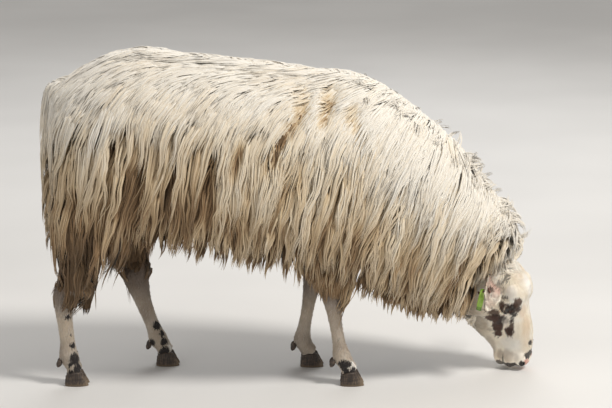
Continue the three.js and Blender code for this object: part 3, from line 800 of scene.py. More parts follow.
def hit(px, py, fn, near=4.6):
    """Where the line of sight through a point of the frame meets a surface."""
    d = ray(px, py)
    s = near
    for _ in range(80):
        v = float(fn((CAM + d * s)[None])[0])
        if v < 0.0002:
            return CAM + d * s
        s += max(v * 0.9, 0.0004)
        if s > 6.5:
            return None
    return CAM + d * s


def run(p, step, n):
    """A line on the coat's outside, following its lie."""
    pts = [p]
    for _ in range(n):
        g = outward(pts[-1])
        v = lie(pts[-1], g)
        v = unit(v - g * (v * g).sum(1)[:, None])
        q = pts[-1] + v * step
        q = q - outward(q) * outer(q)[:, None]
        pts.append(q)
    return np.stack(pts, 1)


# Partings: places where the locks fall away to either side and the under-wool shows, browner and darkened with painted
# shade.
PARTED = [((301, 90), 4, 1.0), ((276, 98), 5, 0.5), ((388, 128), 6, 0.35), ((208, 118), 5, 0.45), ((150, 130), 5, 0.4), ((112, 170), 5, 0.5)]
starts, lengths, strengths = [], [], []
for (px, py), n, k in PARTED:
    p = hit(px, py, outer)
    if p is not None:
        starts.append(p)
        lengths.append(n)
        strengths.append(k)
        if k > 0.9:
            starts.append(p * [1, -1, 1] + np.array([-0.03, 0, 0]))
            lengths.append(n)
            strengths.append(k * 0.8)
for _ in range(60):
    x, z = rng.uniform(-0.5, 0.38), rng.uniform(0.32, 0.66)
    side = rng.choice([-1, 1])
    p = place([x * 1000, 0, z * 1000])
    p[1] = side * 0.24
    for _ in range(40):
        d = float(outer(p[None])[0])
        p[1] -= side * d
    if abs(float(outer(p[None])[0])) < 0.003 and abs(p[1]) > 0.06:
        starts.append(p)
        lengths.append(rng.integers(3, 8))
        strengths.append(rng.uniform(0.12, 0.40))
lines = run(np.array(starts), 0.014, 8)
part_pts = np.concatenate([lines[i, : n + 1] for i, n in enumerate(lengths)])
part_k = np.concatenate([np.full(n + 1, k) * np.sin(np.linspace(0.35, 1, n + 1) * math.pi) ** 0.6 for n, k in zip(lengths, strengths)])
# The deep folds over the shoulder, as points of the frame that each fold passes; the wisps dip into them and are
# darkened there with painted shade.
FOLDS = [
    ([(299, 88), (303, 101), (301, 114), (293, 126), (284, 138), (277, 150), (275, 164)], 1.0),
    ([(329, 87), (329, 99), (327, 111), (324, 123)], 1.0),
    ([(352, 107), (353, 118), (358, 129), (363, 141)], 0.85),
    ([(241, 146), (237, 160), (233, 176)], 0.7),
]
fold_pts, fold_k = np.empty((0, 3)), np.empty(0)
for path, k in FOLDS:
    path = np.array(path, float)
    at = np.linspace(0, len(path) - 1, 3 * len(path) - 2)
    dense = np.stack([np.interp(at, np.arange(len(path)), path[:, i]) for i in (0, 1)], 1)
    pts = [hit(px, py, outer) for px, py in dense]
    pts = np.array([p for p in pts if p is not None])
    fold_pts = np.concatenate([fold_pts, pts])
    fold_k = np.concatenate([fold_k, k * np.sin(np.linspace(0.12, 0.92, len(pts)) * math.pi) ** 0.5])


def near_line(p, pts, strength, r):
    """0 away from the points to their strength at them, falling off over about r."""
    best = np.zeros(len(p))
    for c, k in zip(pts, strength):
        m = (np.abs(p - c) < 3 * r).all(1)
        if m.any():
            best[m] = np.maximum(best[m], k * np.exp(-((p[m] - c) ** 2).sum(1) / r**2))
    return best


def parting(p):
    return near_line(p, part_pts, part_k, 0.009)


def fold(p):
    return near_line(p, fold_pts, fold_k, 0.0118)


def past_wool(p):
    """How far a point of the head lies in front of the edge of the fleece; negative in the wool."""
    q = to_head(p)
    edge = q[:, 0] + 0.69 * q[:, 2] + 0.037 + 0.005 * noise(p, 0.022, 3)
    return np.minimum(edge, q[:, 2] + 0.112)


# ---- where the locks grow ----------------------------------------------------------------------------------
def areas(v, f):
    a = v[f[:, 2]] - v[f[:, 0]]
    b = v[f[:, 3]] - v[f[:, 1]]
    return np.linalg.norm(np.cross(a, b), axis=1) / 2


face_area = areas(verts, quads)
face_mid = verts[quads].mean(1)
face_normal = unit(skin_normal[quads].mean(1))
skin_out = outer(verts)
face_out = outer(face_mid)


def scatter(weight, count, radius):
    """Points on the skin with about equal gaps: `radius` is the gap at each face."""
    w = face_area * weight
    pick = rng.choice(len(w), size=int(count), p=w / w.sum())
    a, b = rng.random((2, len(pick), 1))
    q = verts[quads[pick]]
    p = (q[:, 0] * (1 - a) + q[:, 1] * a) * (1 - b) + (q[:, 3] * (1 - a) + q[:, 2] * a) * b
    r = radius[pick]
    cells = {}
    size = float(r.max())
    keep = []
    for i, (pt, key) in enumerate(zip(p.tolist(), np.floor(p / size).astype(int).tolist())):
        ok = True
        rr = r[i] ** 2
        for dx in (-1, 0, 1):
            for dy in (-1, 0, 1):
                for dz in (-1, 0, 1):
                    for o in cells.get((key[0] + dx, key[1] + dy, key[2] + dz), ()):
                        if (o[0] - pt[0]) ** 2 + (o[1] - pt[1]) ** 2 + (o[2] - pt[2]) ** 2 < rr:
                            ok = False
                            break
                    if not ok:
                        break
                if not ok:
                    break
            if not ok:
                break
        if ok:
            cells.setdefault(tuple(key), []).append(pt)
            keep.append(i)
    return p[keep], pick[keep]


face_past = past_wool(face_mid)
woolly = smooth(-face_out, 0.009, 0.018) * smooth(-face_past, 0.002, 0.010)
h_face, t_face = height(face_mid)
x_face = face_mid[:, 0] - SHIFT[0]
under = smooth(-face_normal[:, 2], 0.45, 0.85) * (1 - smooth(x_face, 0.12, 0.2))
gap = np.full(len(face_mid), 0.0195)
gap = gap - 0.0035 * smooth(h_face, 0.70, 0.80) * (1 - smooth(x_face, 0.10, 0.26))
gap = gap - 0.0020 * smooth(x_face, 0.16, 0.26) - 0.0065 * smooth(x_face, 0.33, 0.42)
gap = gap - 0.0042 * smooth(h_face, 0.80, 0.90) * smooth(x_face, 0.12, 0.24)
gap = gap * (1 + 0.5 * under)
gap = np.where(x_face < -0.545, 0.0150, gap)
gap = np.where((face_mid[:, 2] < 0.30) & (x_face < 0.12), 0.0118, gap)
roots, root_face = scatter(woolly, 60000, gap)


# ---- markings -----------------------------------------------------------------------------------------------
# Marks on the head, in its own millimetres for the right side: place, radii, kind, strength.
HEAD_MARKS = [
    ((96, -60, -41), (13, 20, 17), "brown", 1.0),
    ((136, -47, -66), (10, 18, 10), "brown", 1.0),
    ((140, -38, -35), (11, 18, 4.8), "brown", 0.9),
    ((100, -47, -17), (9, 18, 7), "brown", 0.95),
    ((103, -62, -43), (4.5, 20, 11), "black", 0.85),
    ((83, -53, -15), (11, 18, 9.5), "brown", 0.95),
    ((87, -57, -21), (6, 18, 8), "brown", 1.0),
    ((73, -53, -20), (3.6, 18, 4.4), "brown", 0.6),
    ((89, -58, -52), (8, 18, 6.7), "brown", 0.9),
    ((93, -42, -28), (9, 45, 7), "black", 0.85),
    ((102, -44, -30), (7, 45, 8), "brown", 1.0),
    ((88, -44, -27), (5, 45, 6), "brown", 1.0),
    ((226, 6, -6), (10, 32, 14), "black", 0.95),
    # the band under the ear's tip: partly brown hair and partly the ear's painted shadow
    ((109, -60, -72), (8, 20, 15), "brown", 0.9),
    ((106, -62, -84), (6, 20, 10), "brown", 0.75),
    ((134, -44, -50), (10, 18, 9), "brown", 0.45),
    ((72, -52, -49), (4.8, 18, 5.9), "black", 0.75),
    ((71, -52, -41), (3.2, 18, 3.6), "black", 0.7),
    ((113, -47, -27), (12, 18, 6.5), "black", 0.95),
    ((130, -39, -34), (8, 18, 4), "black", 0.7),
    ((97, -48, -14), (4.4, 18, 3.6), "black", 0.7),
    ((126, -52, -80), (8.5, 18, 12), "brown", 0.95),
    ((123, -54, -66), (11, 18, 15), "brown", 1.0),
    ((126, -46, -54), (8.9, 18, 8), "black", 0.7),
    ((116, -55, -65), (2.8, 18, 12), "black", 0.6),
    ((150, -41, -68), (16, 18, 12.5), "brown", 1.0),
    ((170, -36, -68), (7.5, 18, 9.5), "brown", 1.0),
    ((139, -41, -61), (8, 18, 8.7), "black", 0.55),
    ((163, -33, -43), (12, 18, 11.5), "brown", 1.0),
    ((150, -36, -36), (8, 18, 6), "brown", 0.95),
    ((161, -34, -41), (6, 18, 6), "black", 0.5),
    ((162, -39, -87), (5, 18, 3.6), "brown", 0.5),
    ((105, -62, -49), (2.6, 18, 12), "tan", 0.9),
    ((139, -36, -50), (9, 18, 2.8), "white", 0.6),
    ((27, -40, -43), (8.7, 18, 6.7), "black", 0.72),
    ((32, -39, -38), (3.2, 18, 3.2), "black", 0.5),
    ((35, -51, -55), (6, 18, 7.5), "black", 0.62),
    ((32, -46, -49), (3.6, 18, 6), "black", 0.5),
    ((41, -54, -59), (3.6, 18, 4), "black", 0.45),
    ((53, -53, -52), (8.7, 18, 8), "grey", 0.8),
    ((61, -48, -32), (16, 18, 14), "white", 0.65),
    # white hair on the brow, made brighter as a painted highlight where the brow faces the light
    ((75, -55, -26), (6.7, 18, 8), "white", 1.0),
    ((32, -22, -23), (14, 18, 12), "tan", 0.25),
    ((157, -18, -7), (32, 14, 9), "tan", 0.40),
    ((113, -22, -14), (18, 14, 7), "tan", 0.40),
    ((190, -17, -6), (14, 14, 7), "tan", 0.35),
    ((196, -9, -1), (6.7, 6, 9), "black", 0.95),
    ((228, -5, -7), (12, 8, 14), "black", 0.95),
    ((222, 3, -4), (9, 9, 14), "black", 0.9),
    ((208, 12, -8), (7, 6, 12), "brown", 0.8),
    ((194, -33, -39), (18, 18, 22), "white", 0.5),
    ((225, -34, -48), (18, 18, 14), "grey", 0.50),
    ((225, -29, -66), (12, 18, 10), "grey", 0.60),
    ((228, -30, -33), (10, 18, 10), "grey", 0.30),
    ((241, -20, -8), (9, 10, 7), "pink", 0.95),
    ((250, -13, -9), (10, 12, 9), "pink", 0.95),
    ((257, 0, -22), (9, 16, 12), "pink", 0.8),
    ((244, -27, -17), (10, 10, 6.5), "black", 1.0),
    ((253, -20, -27), (8, 12, 6), "black", 0.85),
    ((250, -29, -36), (9, 16, 8), "black", 0.95),
    ((249, -31, -46), (9, 18, 9), "black", 0.95),
    ((251, -28, -57), (9, 18, 9), "black", 0.9),
    ((247, -26, -61), (24, 22, 3.2), "black", 0.75),
    ((247, -26, -71), (9, 18, 10), "black", 0.85),
    ((156, -28, -109), (22, 22, 24), "grey", 0.3),
    ((205, -30, -92), (26, 30, 14), "grey", 0.5),
    ((44, -80, -69), (6, 12, 7.5), "brown", 0.9),
    ((42, -84, -70), (4, 10, 4.4), "black", 0.6),
    ((30, -89, -73), (7, 12, 8.7), "pink", 0.5),
    ((48, -78, -67), (4.8, 10, 9.9), "brown", 0.5),
    ((52, 0, -6), (40, 14, 12), "white", 0.7),
]
# Marks on the legs: which leg, place in the part's millimetres, radius.
LEG_MARKS = [
    ("hind_right", (-530, -104, 160), 7.0, 1.0), ("hind_right", (-520, -101, 94), 8.0, 1.0), ("hind_right", (-516, -106, 64), 14.0, 1.0),
    ("hind_right", (-528, -109, 50), 5.6, 1.0), ("hind_right", (-508, -108, 42), 11.0, 1.0), ("hind_right", (-523, -107, 27), 12.0, 1.0),
    ("hind_right", (-524, -100, 118), 2.6, 0.9), ("hind_right", (-516, -80, 78), 8.0, 1.0), ("hind_right", (-505, -78, 48), 7.0, 0.9),
    ("hind_left", (-342, 58, 97), 11.5, 1.0), ("hind_left", (-330, 58, 78), 8.0, 1.0), ("hind_left", (-326, 53, 59), 9.5, 1.0),
    ("hind_left", (-355, 56, 55), 9.5, 1.0), ("hind_left", (-324, 50, 38), 11.5, 1.0), ("hind_left", (-333, 53, 29), 9.0, 1.0),
    ("hind_left", (-334, 86, 66), 10.0, 1.0), ("hind_left", (-322, 84, 40), 8.0, 1.0), ("hind_left", (-352, 84, 108), 6.0, 0.9),
    ("fore_right", (83, -109, 51), 12.0, 1.0), ("fore_right", (96, -109, 52), 8.0, 1.0), ("fore_right", (91, -110, 33), 9.0, 1.0), ("fore_right", (106, -108, 37), 8.5, 1.0),
    ("fore_right", (66, -104, 40), 6.5, 0.9), ("fore_right", (73, -104, 108), 2.4, 0.8), ("fore_right", (73, -105, 170), 4.0, 0.5),
    ("fore_right", (88, -72, 52), 8.0, 1.0), ("fore_right", (100, -70, 34), 7.0, 0.9),
    ("fore_left", (8, 80, 48), 8.0, 0.9), ("fore_left", (0, 78, 30), 6.0, 0.8),
]
KINDS = ("tan", "grey", "white", "brown", "black", "pink", "under")


def ear_inside(p, n):
    """How far into the hollow of an ear a point is: 0 outside, 1 well in; and how near the ear's root."""
    inside, root = np.zeros(len(p)), np.zeros(len(p))
    for name, e in EARS.items():
        x, y, z = ear_axes(e)
        q = p - ear_root(e)
        s, w = q @ x / (EAR_LONG / 1000), q @ y
        m = (s > -0.1) & (s < 1.02) & (np.abs(ear_fields[name](p)) < 0.0035)
        sc = np.clip(s, 0, 1)
        half = EAR_WIDE / 2000 * np.sin(math.pi * (0.17 + 0.83 * sc) ** 0.86) ** 0.62
        a = smooth(1 - np.abs(w) / (half + 1e-4), 0.10, 0.30) * smooth(n @ z, 0.0, 0.35) * smooth(1 - s, 0.03, 0.14) * m
        inside = np.maximum(inside, a)
        root = np.maximum(root, a * (1 - smooth(s, 0.18, 0.52)))
    return inside, root


def markings(p, n):
    """Each kind of mark, from 0 to 1, at points p of the skin whose normals are n."""
    k = {name: np.zeros(len(p)) for name in KINDS}
    rough = 0.16 * noise(p, 0.010, 0) + 0.13 * noise(p, 0.0042, 1) + 0.10 * noise(p, 0.002, 2)
    q = to_head(p) * 1000
    on = (q[:, 0] > -25) & (q[:, 0] < 275) & (np.abs(q[:, 1]) < 165) & (q[:, 2] > -200)
    left = q[:, 1] > 0
    for c, r, kind, strength in HEAD_MARKS:
        t = q.copy()
        if abs(c[1]) > 6:
            # the left side carries the same marks, a little moved and resized
            t[left] = q[left] * [1, -1, 1] + [4 * math.sin(c[0]), 0, 3 * math.cos(c[2])]
            grow = np.where(left, 1 + 0.22 * math.sin(c[0] * 1.7 + c[2]), 1.0)
        else:
            grow = 1.0
        d = np.sqrt((((t - c) / np.array(r)) ** 2).sum(1)) / grow
        if kind in ("brown", "black") and c[2] > -34 and 60 < c[0] < 120:
            d = d + 9.0 * left  # the left brow is white
        soft = 0.10 if kind in ("brown", "black") else 0.35
        k[kind] = np.maximum(k[kind], strength * (1 - smooth(d + rough * (1 if soft < 0.2 else 0.5), 1 - soft, 1 + soft)) * on)
    for leg, c, r, strength in LEG_MARKS:
        d = np.linalg.norm((p - place(c)) * [1, 0.8, 1], axis=1) / (r / 1000)
        k["black"] = np.maximum(k["black"], strength * (1 - smooth(d + rough * 0.8, 0.88, 1.12)))
    for c, r in (((104, -104, 48), 13), ((116, -96, 36), 10), ((-500, -106, 52), 8), ((-492, -98, 36), 8), ((-310, 56, 46), 9)):
        d = np.linalg.norm(p - place(c), axis=1) / (r / 1000)
        k["white"] = np.maximum(k["white"], 0.8 * (1 - smooth(d + rough, 0.6, 1.3)))
    # round the eyes: black rims to the lids, a paler strip along the lower lid, pink in the inner corner
    m = q.copy()
    m[:, 1] = np.abs(m[:, 1])
    c = m - [98, 48.5, -40]
    a, u, o = c @ LID_ALONG, c @ LID_UP, c @ LID_AXIS
    near = (np.linalg.norm(c, axis=1) < 22) & (o > 6)
    slit = np.sqrt((a / 15.5) ** 2 + ((u + 3.6) / 4.9) ** 2)
    k["black"] = np.maximum(k["black"], near * (1 - smooth(slit, 0.85, 1.2)))
    pale = near * np.exp(-(((u + 9.6 - 0.012 * a * a) / 1.5) ** 2)) * (1 - smooth(np.abs(a), 6, 11))
    for name in ("brown", "black"):
        k[name] = k[name] * (1 - 0.8 * pale)
    k["tan"] = np.maximum(k["tan"], pale * 0.8)
    corner = np.linalg.norm((c - [18.5, 1.0, -9.5]) / [4.5, 4, 2.6], axis=1)
    k["pink"] = np.maximum(k["pink"], 1 - smooth(corner, 0.7, 1.2))
    # the cheeks and jaw are greyer towards the throat: painted shade under the head
    k["grey"] = np.maximum(k["grey"], on * 0.62 * smooth(-q[:, 2] + 9 * noise(p, 0.03, 2), 84, 128) * (1 - smooth(q[:, 0], 185, 225)) * smooth(q[:, 0], 55, 95))
    # ears: grey in the hollow with dark hair along it, pink towards the dark canal
    inside, root = ear_inside(p, n)
    k["pink"] = np.maximum(k["pink"] * (1 - 0.4 * inside), inside * np.clip(0.10 + 0.45 * root + 0.12 * noise(p, 0.006, 3), 0, 1))
    k["grey"] = np.maximum(k["grey"], inside * np.clip(0.62 + 0.4 * noise(p, 0.005, 1), 0, 0.95) * (1 - 0.5 * root))
    streaks = noise(q / 1000 @ rot("x", 22) * [1.0, 0.28, 1.0], 0.0026, 1)
    k["brown"] = np.maximum(k["brown"], np.clip(inside * (1.5 * streaks - 0.22), 0, 0.75))
    # legs: greyer and browner towards the wool, partly the hair's own colour and partly painted shade under the body;
    # dark at the coronet
    z = p[:, 2]
    leg = (~on) & (z < 0.33)
    k["grey"] = np.maximum(k["grey"], leg * np.clip(0.72 + 0.2 * smooth(z, 0.12, 0.26) + 0.22 * noise(p, 0.03, 2), 0, 1))
    k["tan"] = np.maximum(k["tan"], leg * (0.2 + 0.35 * smooth(z, 0.10, 0.24)))
    # the far legs turn brown lower down than the near ones: painted shade
    k["brown"] = np.maximum(k["brown"], leg * 0.80 * smooth(z + 0.012 * noise(p, 0.02, 1) + 0.020 * (p[:, 1] > SHIFT[1]), 0.145, 0.230))
    groin = box_mask(p, place([-560, -66, 120]), place([-430, 40, 350]))
    k["brown"] = np.maximum(k["brown"], 0.88 * groin * smooth(-outer(p), -0.005, 0.003))
    k["under"] = smooth(-outer(p), 0.006, 0.02) * (1 - smooth(past_wool(p), -0.002, 0.006))
    # under the lower coat the skin is browner: partly the browner lower wool and partly painted shade where it shows
    # between the locks
    low = (1 - smooth(height(p)[0], 0.25, 0.80)) * (1 - smooth(past_wool(p), -0.12, -0.07))
    k["brown"] = np.maximum(k["brown"], k["under"] * 0.62 * low * ~on)
    for name in ("tan", "grey", "white", "pink"):
        k[name] = k[name] * (1 - 0.9 * np.maximum(k["black"], k["brown"] * (name != "pink")))
    return k


# ---- node trees ---------------------------------------------------------------------------------------------
def lin(*c):
    return tuple(x / 255 / 12.92 if x / 255 <= 0.04045 else ((x / 255 + 0.055) / 1.055) ** 2.4 for x in c) + (1,)


class Tree:
    """A material's nodes, with short calls for the ones used here."""

    def __init__(self, name, **constants):
        self.m = bpy.data.materials.new(name)
        self.m.use_nodes = True
        self.t = self.m.node_tree
        self.shader = self.t.nodes["Principled BSDF"]
        for key, value in constants.items():
            self.shader.inputs[key.replace("_", " ")].default_value = value

    def put(self, socket, value):
        if hasattr(value, "is_linked") or isinstance(value, bpy.types.NodeSocket):
            self.t.links.new(value, socket)
        elif value is not None:
            socket.default_value = value

    def node(self, kind, out=0, settings=(), **inputs):
        n = self.t.nodes.new("ShaderNode" + kind)
        for key, value in dict(settings).items():
            setattr(n, key, value)
        for key, value in inputs.items():
            self.put(n.inputs[int(key[1:]) if key[0] == "i" and key[1:].isdigit() else key.replace("_", " ")], value)
        return n.outputs[out]

    def attribute(self, name):
        return self.node("Attribute", out=2, settings={"attribute_name": name})

    def mix(self, a, b, f, blend="MIX"):
        n = self.t.nodes.new("ShaderNodeMix")
        n.data_type = "RGBA"
        n.blend_type = blend
        n.clamp_factor = True
        self.put(n.inputs[0], f)
        self.put(n.inputs[6], a)
        self.put(n.inputs[7], b)
        return n.outputs[2]

    def math(self, op, a, b=None, c=None, clamp=False):
        n = self.t.nodes.new("ShaderNodeMath")
        n.operation = op
        n.use_clamp = clamp
        for i, v in enumerate((a, b, c)):
            if v is not None:
                self.put(n.inputs[i], v)
        return n.outputs[0]

    def span(self, v, a, b, lo=0.0, hi=1.0):
        n = self.t.nodes.new("ShaderNodeMapRange")
        n.interpolation_type = "SMOOTHSTEP"
        self.put(n.inputs["Value"], v)
        for key, x in (("From Min", a), ("From Max", b), ("To Min", lo), ("To Max", hi)):
            n.inputs[key].default_value = x
        return n.outputs["Result"]

    def noise(self, where, scale, detail=2.0, rough=0.55, dim="3D"):
        return self.node("TexNoise", settings={"noise_dimensions": dim}, Vector=where, Scale=scale, Detail=detail, Roughness=rough)

    def object(self):
        return self.node("TexCoord", out=3)

    def mapping(self, vector, scale=(1, 1, 1), turn=(0, 0, 0), kind="POINT"):
        n = self.t.nodes.new("ShaderNodeMapping")
        n.vector_type = kind
        self.put(n.inputs["Vector"], vector)
        n.inputs["Scale"].default_value = scale
        n.inputs["Rotation"].default_value = turn
        return n.outputs[0]

    def ramp(self, f, stops):
        n = self.t.nodes.new("ShaderNodeValToRGB")
        self.put(n.inputs[0], f)
        e = n.color_ramp.elements
        while len(e) < len(stops):
            e.new(0.5)
        for i, (at, colour) in enumerate(stops):
            e[i].position = at
            e[i].color = colour
        return n.outputs[0]

    def bump(self, height, strength, distance, normal=None):
        n = self.t.nodes.new("ShaderNodeBump")
        n.inputs["Strength"].default_value = strength
        n.inputs["Distance"].default_value = distance
        self.put(n.inputs["Height"], height)
        if normal is not None:
            self.put(n.inputs["Normal"], normal)
        return n.outputs[0]

    def set(self, **inputs):
        for key, value in inputs.items():
            self.put(self.shader.inputs[key.replace("_", " ")], value)
        return self.m


def wool_material():
    t = Tree("wool", Sheen_Weight=0.25, Sheen_Roughness=0.5, Subsurface_Weight=0.25, Subsurface_Radius=(1.0, 0.85, 0.7), Subsurface_Scale=0.012)
    t.shader.inputs["Specular IOR Level"].default_value = 0.3
    shade = t.attribute("shade")
    uv = t.node("UVMap", settings={"uv_map": "lock"})
    fibres = t.noise(t.mapping(uv, (7, 0.30, 1)), 1.0, 3.0, 0.6, "2D")
    long = t.noise(t.mapping(uv, (1.6, 0.10, 1)), 1.0, 2.0, 0.5, "2D")
    s = t.math("ADD", shade, t.span(fibres, 0.3, 0.7, -0.055, 0.055))
    s = t.math("ADD", s, t.span(long, 0.3, 0.7, -0.05, 0.05), clamp=True)
    colour = t.ramp(s, [(0, lin(248, 241, 228)), (0.22, lin(239, 222, 194)), (0.5, lin(214, 188, 150)), (0.75, lin(160, 128, 92)), (1, lin(98, 76, 52))])
    dirt = t.noise(t.object(), 7.0, 3.0)
    colour = t.mix(colour, lin(196, 166, 122), t.span(dirt, 0.52, 0.75, 0.0, 0.16))
    return t.set(Base_Color=colour, Roughness=t.span(fibres, 0.25, 0.75, 0.66, 0.86), Normal=t.bump(fibres, 0.5, 0.0004))


def hair_colours(t, streak):
    """Short hair: cream, greyer or tanner in places, with the dark marks over it."""
    patch = t.noise(t.object(), 22.0, 3.0)
    c = t.mix(lin(243, 230, 208), lin(250, 242, 228), t.span(patch, 0.35, 0.65))
    c = t.mix(c, lin(214, 180, 138), t.attribute("tan"))
    c = t.mix(c, lin(150, 134, 119), t.attribute("grey"))
    c = t.mix(c, lin(253, 249, 242), t.attribute("white"))
    c = t.mix(c, lin(224, 200, 162), t.attribute("under"))
    c = t.mix(c, lin(205, 148, 132), t.attribute("pink"))
    brown = t.mix(lin(86, 56, 42), lin(58, 38, 32), t.span(streak, 0.3, 0.7))
    c = t.mix(c, brown, t.attribute("brown"))
    c = t.mix(c, lin(30, 23, 22), t.attribute("black"))
    return c


def skin_material():
    t = Tree("short_hair", Sheen_Weight=0.12, Sheen_Roughness=0.5, Subsurface_Weight=0.12, Subsurface_Radius=(1.0, 0.55, 0.4), Subsurface_Scale=0.006)
    at = t.object()
    head = t.noise(t.mapping(at, (1 / 150, 1 / 900, 1 / 900), tuple(head_turn), "TEXTURE"), 1.0, 3.0)
    leg = t.noise(t.mapping(at, (900, 900, 160)), 1.0, 3.0)
    use = t.attribute("headness")
    streak = t.math("ADD", t.math("MULTIPLY", head, use), t.math("MULTIPLY", leg, t.math("SUBTRACT", 1.0, use)))
    c = hair_colours(t, streak)
    c = t.mix(c, lin(120, 98, 78), t.span(streak, 0.58, 0.80, 0.0, 0.38))
    c = t.mix(c, lin(252, 248, 240), t.span(streak, 0.42, 0.25, 0.0, 0.20))
    bare = t.math("MAXIMUM", t.attribute("bare"), t.math("MULTIPLY", t.attribute("pink"), 0.6))
    pores = t.noise(at, 1500.0, 2.0)
    folds = t.noise(t.mapping(at, (1, 1, 1)), 120.0, 3.0)
    height = t.math("ADD", t.math("MULTIPLY", streak, t.math("SUBTRACT", 1.0, bare)), t.math("MULTIPLY", pores, t.math("MULTIPLY", bare, 0.5)))
    n = t.bump(folds, 0.10, 0.002)
    n = t.bump(height, 0.55, 0.0009, n)
    rough = t.math("SUBTRACT", t.span(streak, 0.3, 0.7, 0.68, 0.86), t.math("MULTIPLY", bare, 0.34))
    return t.set(Base_Color=c, Roughness=rough, Normal=n)


def tuft_material():
    t = Tree("short_tufts", Sheen_Weight=0.15, Sheen_Roughness=0.5, Subsurface_Weight=0.15, Subsurface_Radius=(1.0, 0.7, 0.5), Subsurface_Scale=0.005)
    uv = t.node("UVMap", settings={"uv_map": "lock"})
    fibres = t.noise(t.mapping(uv, (5, 1.2, 1)), 1.0, 2.0, 0.6, "2D")
    c = hair_colours(t, fibres)
    dark = t.math("MAXIMUM", t.attribute("black"), t.attribute("brown"))
    c = t.mix(c, lin(252, 248, 240), t.math("MULTIPLY", t.span(fibres, 0.52, 0.70, 0.0, 0.40), t.math("SUBTRACT", 1.0, dark)))
    c = t.mix(c, lin(112, 90, 70), t.math("MULTIPLY", t.span(fibres, 0.46, 0.28, 0.0, 0.38), t.math("SUBTRACT", 1.0, dark)))
    return t.set(Base_Color=c, Roughness=t.span(fibres, 0.3, 0.7, 0.62, 0.82), Normal=t.bump(fibres, 0.3, 0.0002))


def horn_material():
    t = Tree("worn_horn", IOR=1.5)
    at = t.object()
    grain = t.noise(t.mapping(at, (520, 520, 30)), 1.0, 3.0)
    rings = t.noise(t.mapping(at, (26, 26, 300)), 1.0, 2.0)
    up = t.node("SeparateXYZ", out=2, i0=at)
    c = t.ramp(t.math("ADD", t.span(grain, 0.3, 0.7, 0.0, 0.75), t.span(rings, 0.3, 0.7, 0.0, 0.25)), [(0, lin(38, 32, 30)), (0.4, lin(58, 48, 42)), (0.75, lin(84, 71, 60)), (1, lin(116, 99, 82))])
    c = t.mix(c, lin(142, 124, 102), t.math("MULTIPLY", t.attribute("toe"), t.span(grain, 0.3, 0.6, 0.35, 0.8)))
    c = t.mix(c, lin(30, 25, 24), t.span(t.noise(at, 55.0, 3.0), 0.50, 0.66, 0.0, 0.6))
    c = t.mix(c, lin(126, 108, 84), t.span(up, 0.009, 0.000, 0.0, 0.6))
    h = t.math("ADD", t.math("MULTIPLY", grain, 0.6), rings)
    return t.set(Base_Color=c, Roughness=t.span(grain, 0.3, 0.7, 0.42, 0.68), Normal=t.bump(h, 0.4, 0.0008))


def eye_material():
    t = Tree("wet_eye", Coat_Weight=1.0, Coat_Roughness=0.03, IOR=1.38)
    iris, pupil, rim = t.attribute("iris"), t.attribute("pupil"), t.attribute("limbus")
    at = t.object()
    c = t.mix(lin(92, 70, 56), lin(126, 100, 82), t.span(t.noise(at, 260.0, 3.0), 0.35, 0.65))
    threads = t.noise(at, 900.0, 3.0)
    c = t.mix(c, t.ramp(threads, [(0.3, lin(26, 16, 8)), (0.5, lin(52, 33, 16)), (0.7, lin(92, 60, 28))]), iris)
    c = t.mix(c, lin(20, 13, 9), rim)
    c = t.mix(c, lin(5, 5, 7), pupil)
    return t.set(Base_Color=c, Roughness=t.span(threads, 0.2, 0.8, 0.10, 0.22))


def tag_material(name, dark, light, soil):
    t = Tree(name, IOR=1.49)
    at = t.object()
    fine = t.noise(at, 700.0, 3.0)
    wide = t.noise(at, 90.0, 3.0)
    c = t.mix(lin(*dark), lin(*light), t.span(wide, 0.35, 0.65))
    c = t.mix(c, lin(*soil), t.span(t.noise(at, 160.0, 4.0), 0.56, 0.74, 0.0, 0.6))
    return t.set(Base_Color=c, Roughness=t.span(wide, 0.3, 0.7, 0.38, 0.58), Normal=t.bump(fine, 0.25, 0.0003))


def floor_material():
    t = Tree("studio_floor")
    f = t.noise(t.object(), 1.3, 2.0)
    return t.set(Base_Color=t.mix(lin(222, 221, 219), lin(228, 227, 225), t.span(f, 0.3, 0.7)), Roughness=t.span(f, 0.3, 0.7, 0.75, 0.85))


# ---- guides: the middle line of each lock ------------------------------------------------------------------
STEP = 0.008
COUNT = 36
ridge_x = np.concatenate([np.arange(-0.548, 0.02, 0.0062), np.arange(0.02, 0.470, 0.0046)])
ridge_side = np.where(np.arange(len(ridge_x)) % 2, 1.0, -1.0)
ridge_at = np.stack([ridge_x + SHIFT[0] + rng.normal(0, 0.003, len(ridge_x)), SHIFT[1] + ridge_side * rng.uniform(-0.004, 0.040, len(ridge_x))], 1)
upper = np.nonzero((face_normal[:, 2] > 0.25) & (np.abs(face_mid[:, 1] - SHIFT[1]) < 0.06) & (face_out < -0.006))[0]
near = np.array([upper[np.argmin(((face_mid[upper, :2] - a) ** 2).sum(1))] for a in ridge_at])
crossing = np.concatenate([np.zeros(len(roots)), ridge_side])
roots = np.concatenate([roots, face_mid[near]])
root_face = np.concatenate([root_face, near])
n_root = face_normal[root_face]
q = roots - SHIFT
h0, t0 = height(roots)
depth0 = -outer(roots)
L = len(roots)
x0 = q[:, 0]
on_tail = x0 < -0.545
on_groin = (q[:, 2] < 0.33) & (np.abs(q[:, 0] + 0.492) < 0.05) & (np.abs(q[:, 1] + 0.012) < 0.05)
on_leg = (q[:, 2] < 0.285) & (x0 < 0.12) & ~on_groin
collar = smooth(x0, 0.35, 0.43)
on_top = smooth(h0, 0.70, 0.80) * (1 - smooth(x0, 0.10, 0.26)) * ~on_tail
length = 0.150 + 0.030 * smooth(x0, -0.40, -0.1) + 0.040 * smooth(x0, -0.05, 0.12)
length = length * (1 - collar) + 0.062 * collar
length = length * (1 - on_top) + 0.092 * on_top
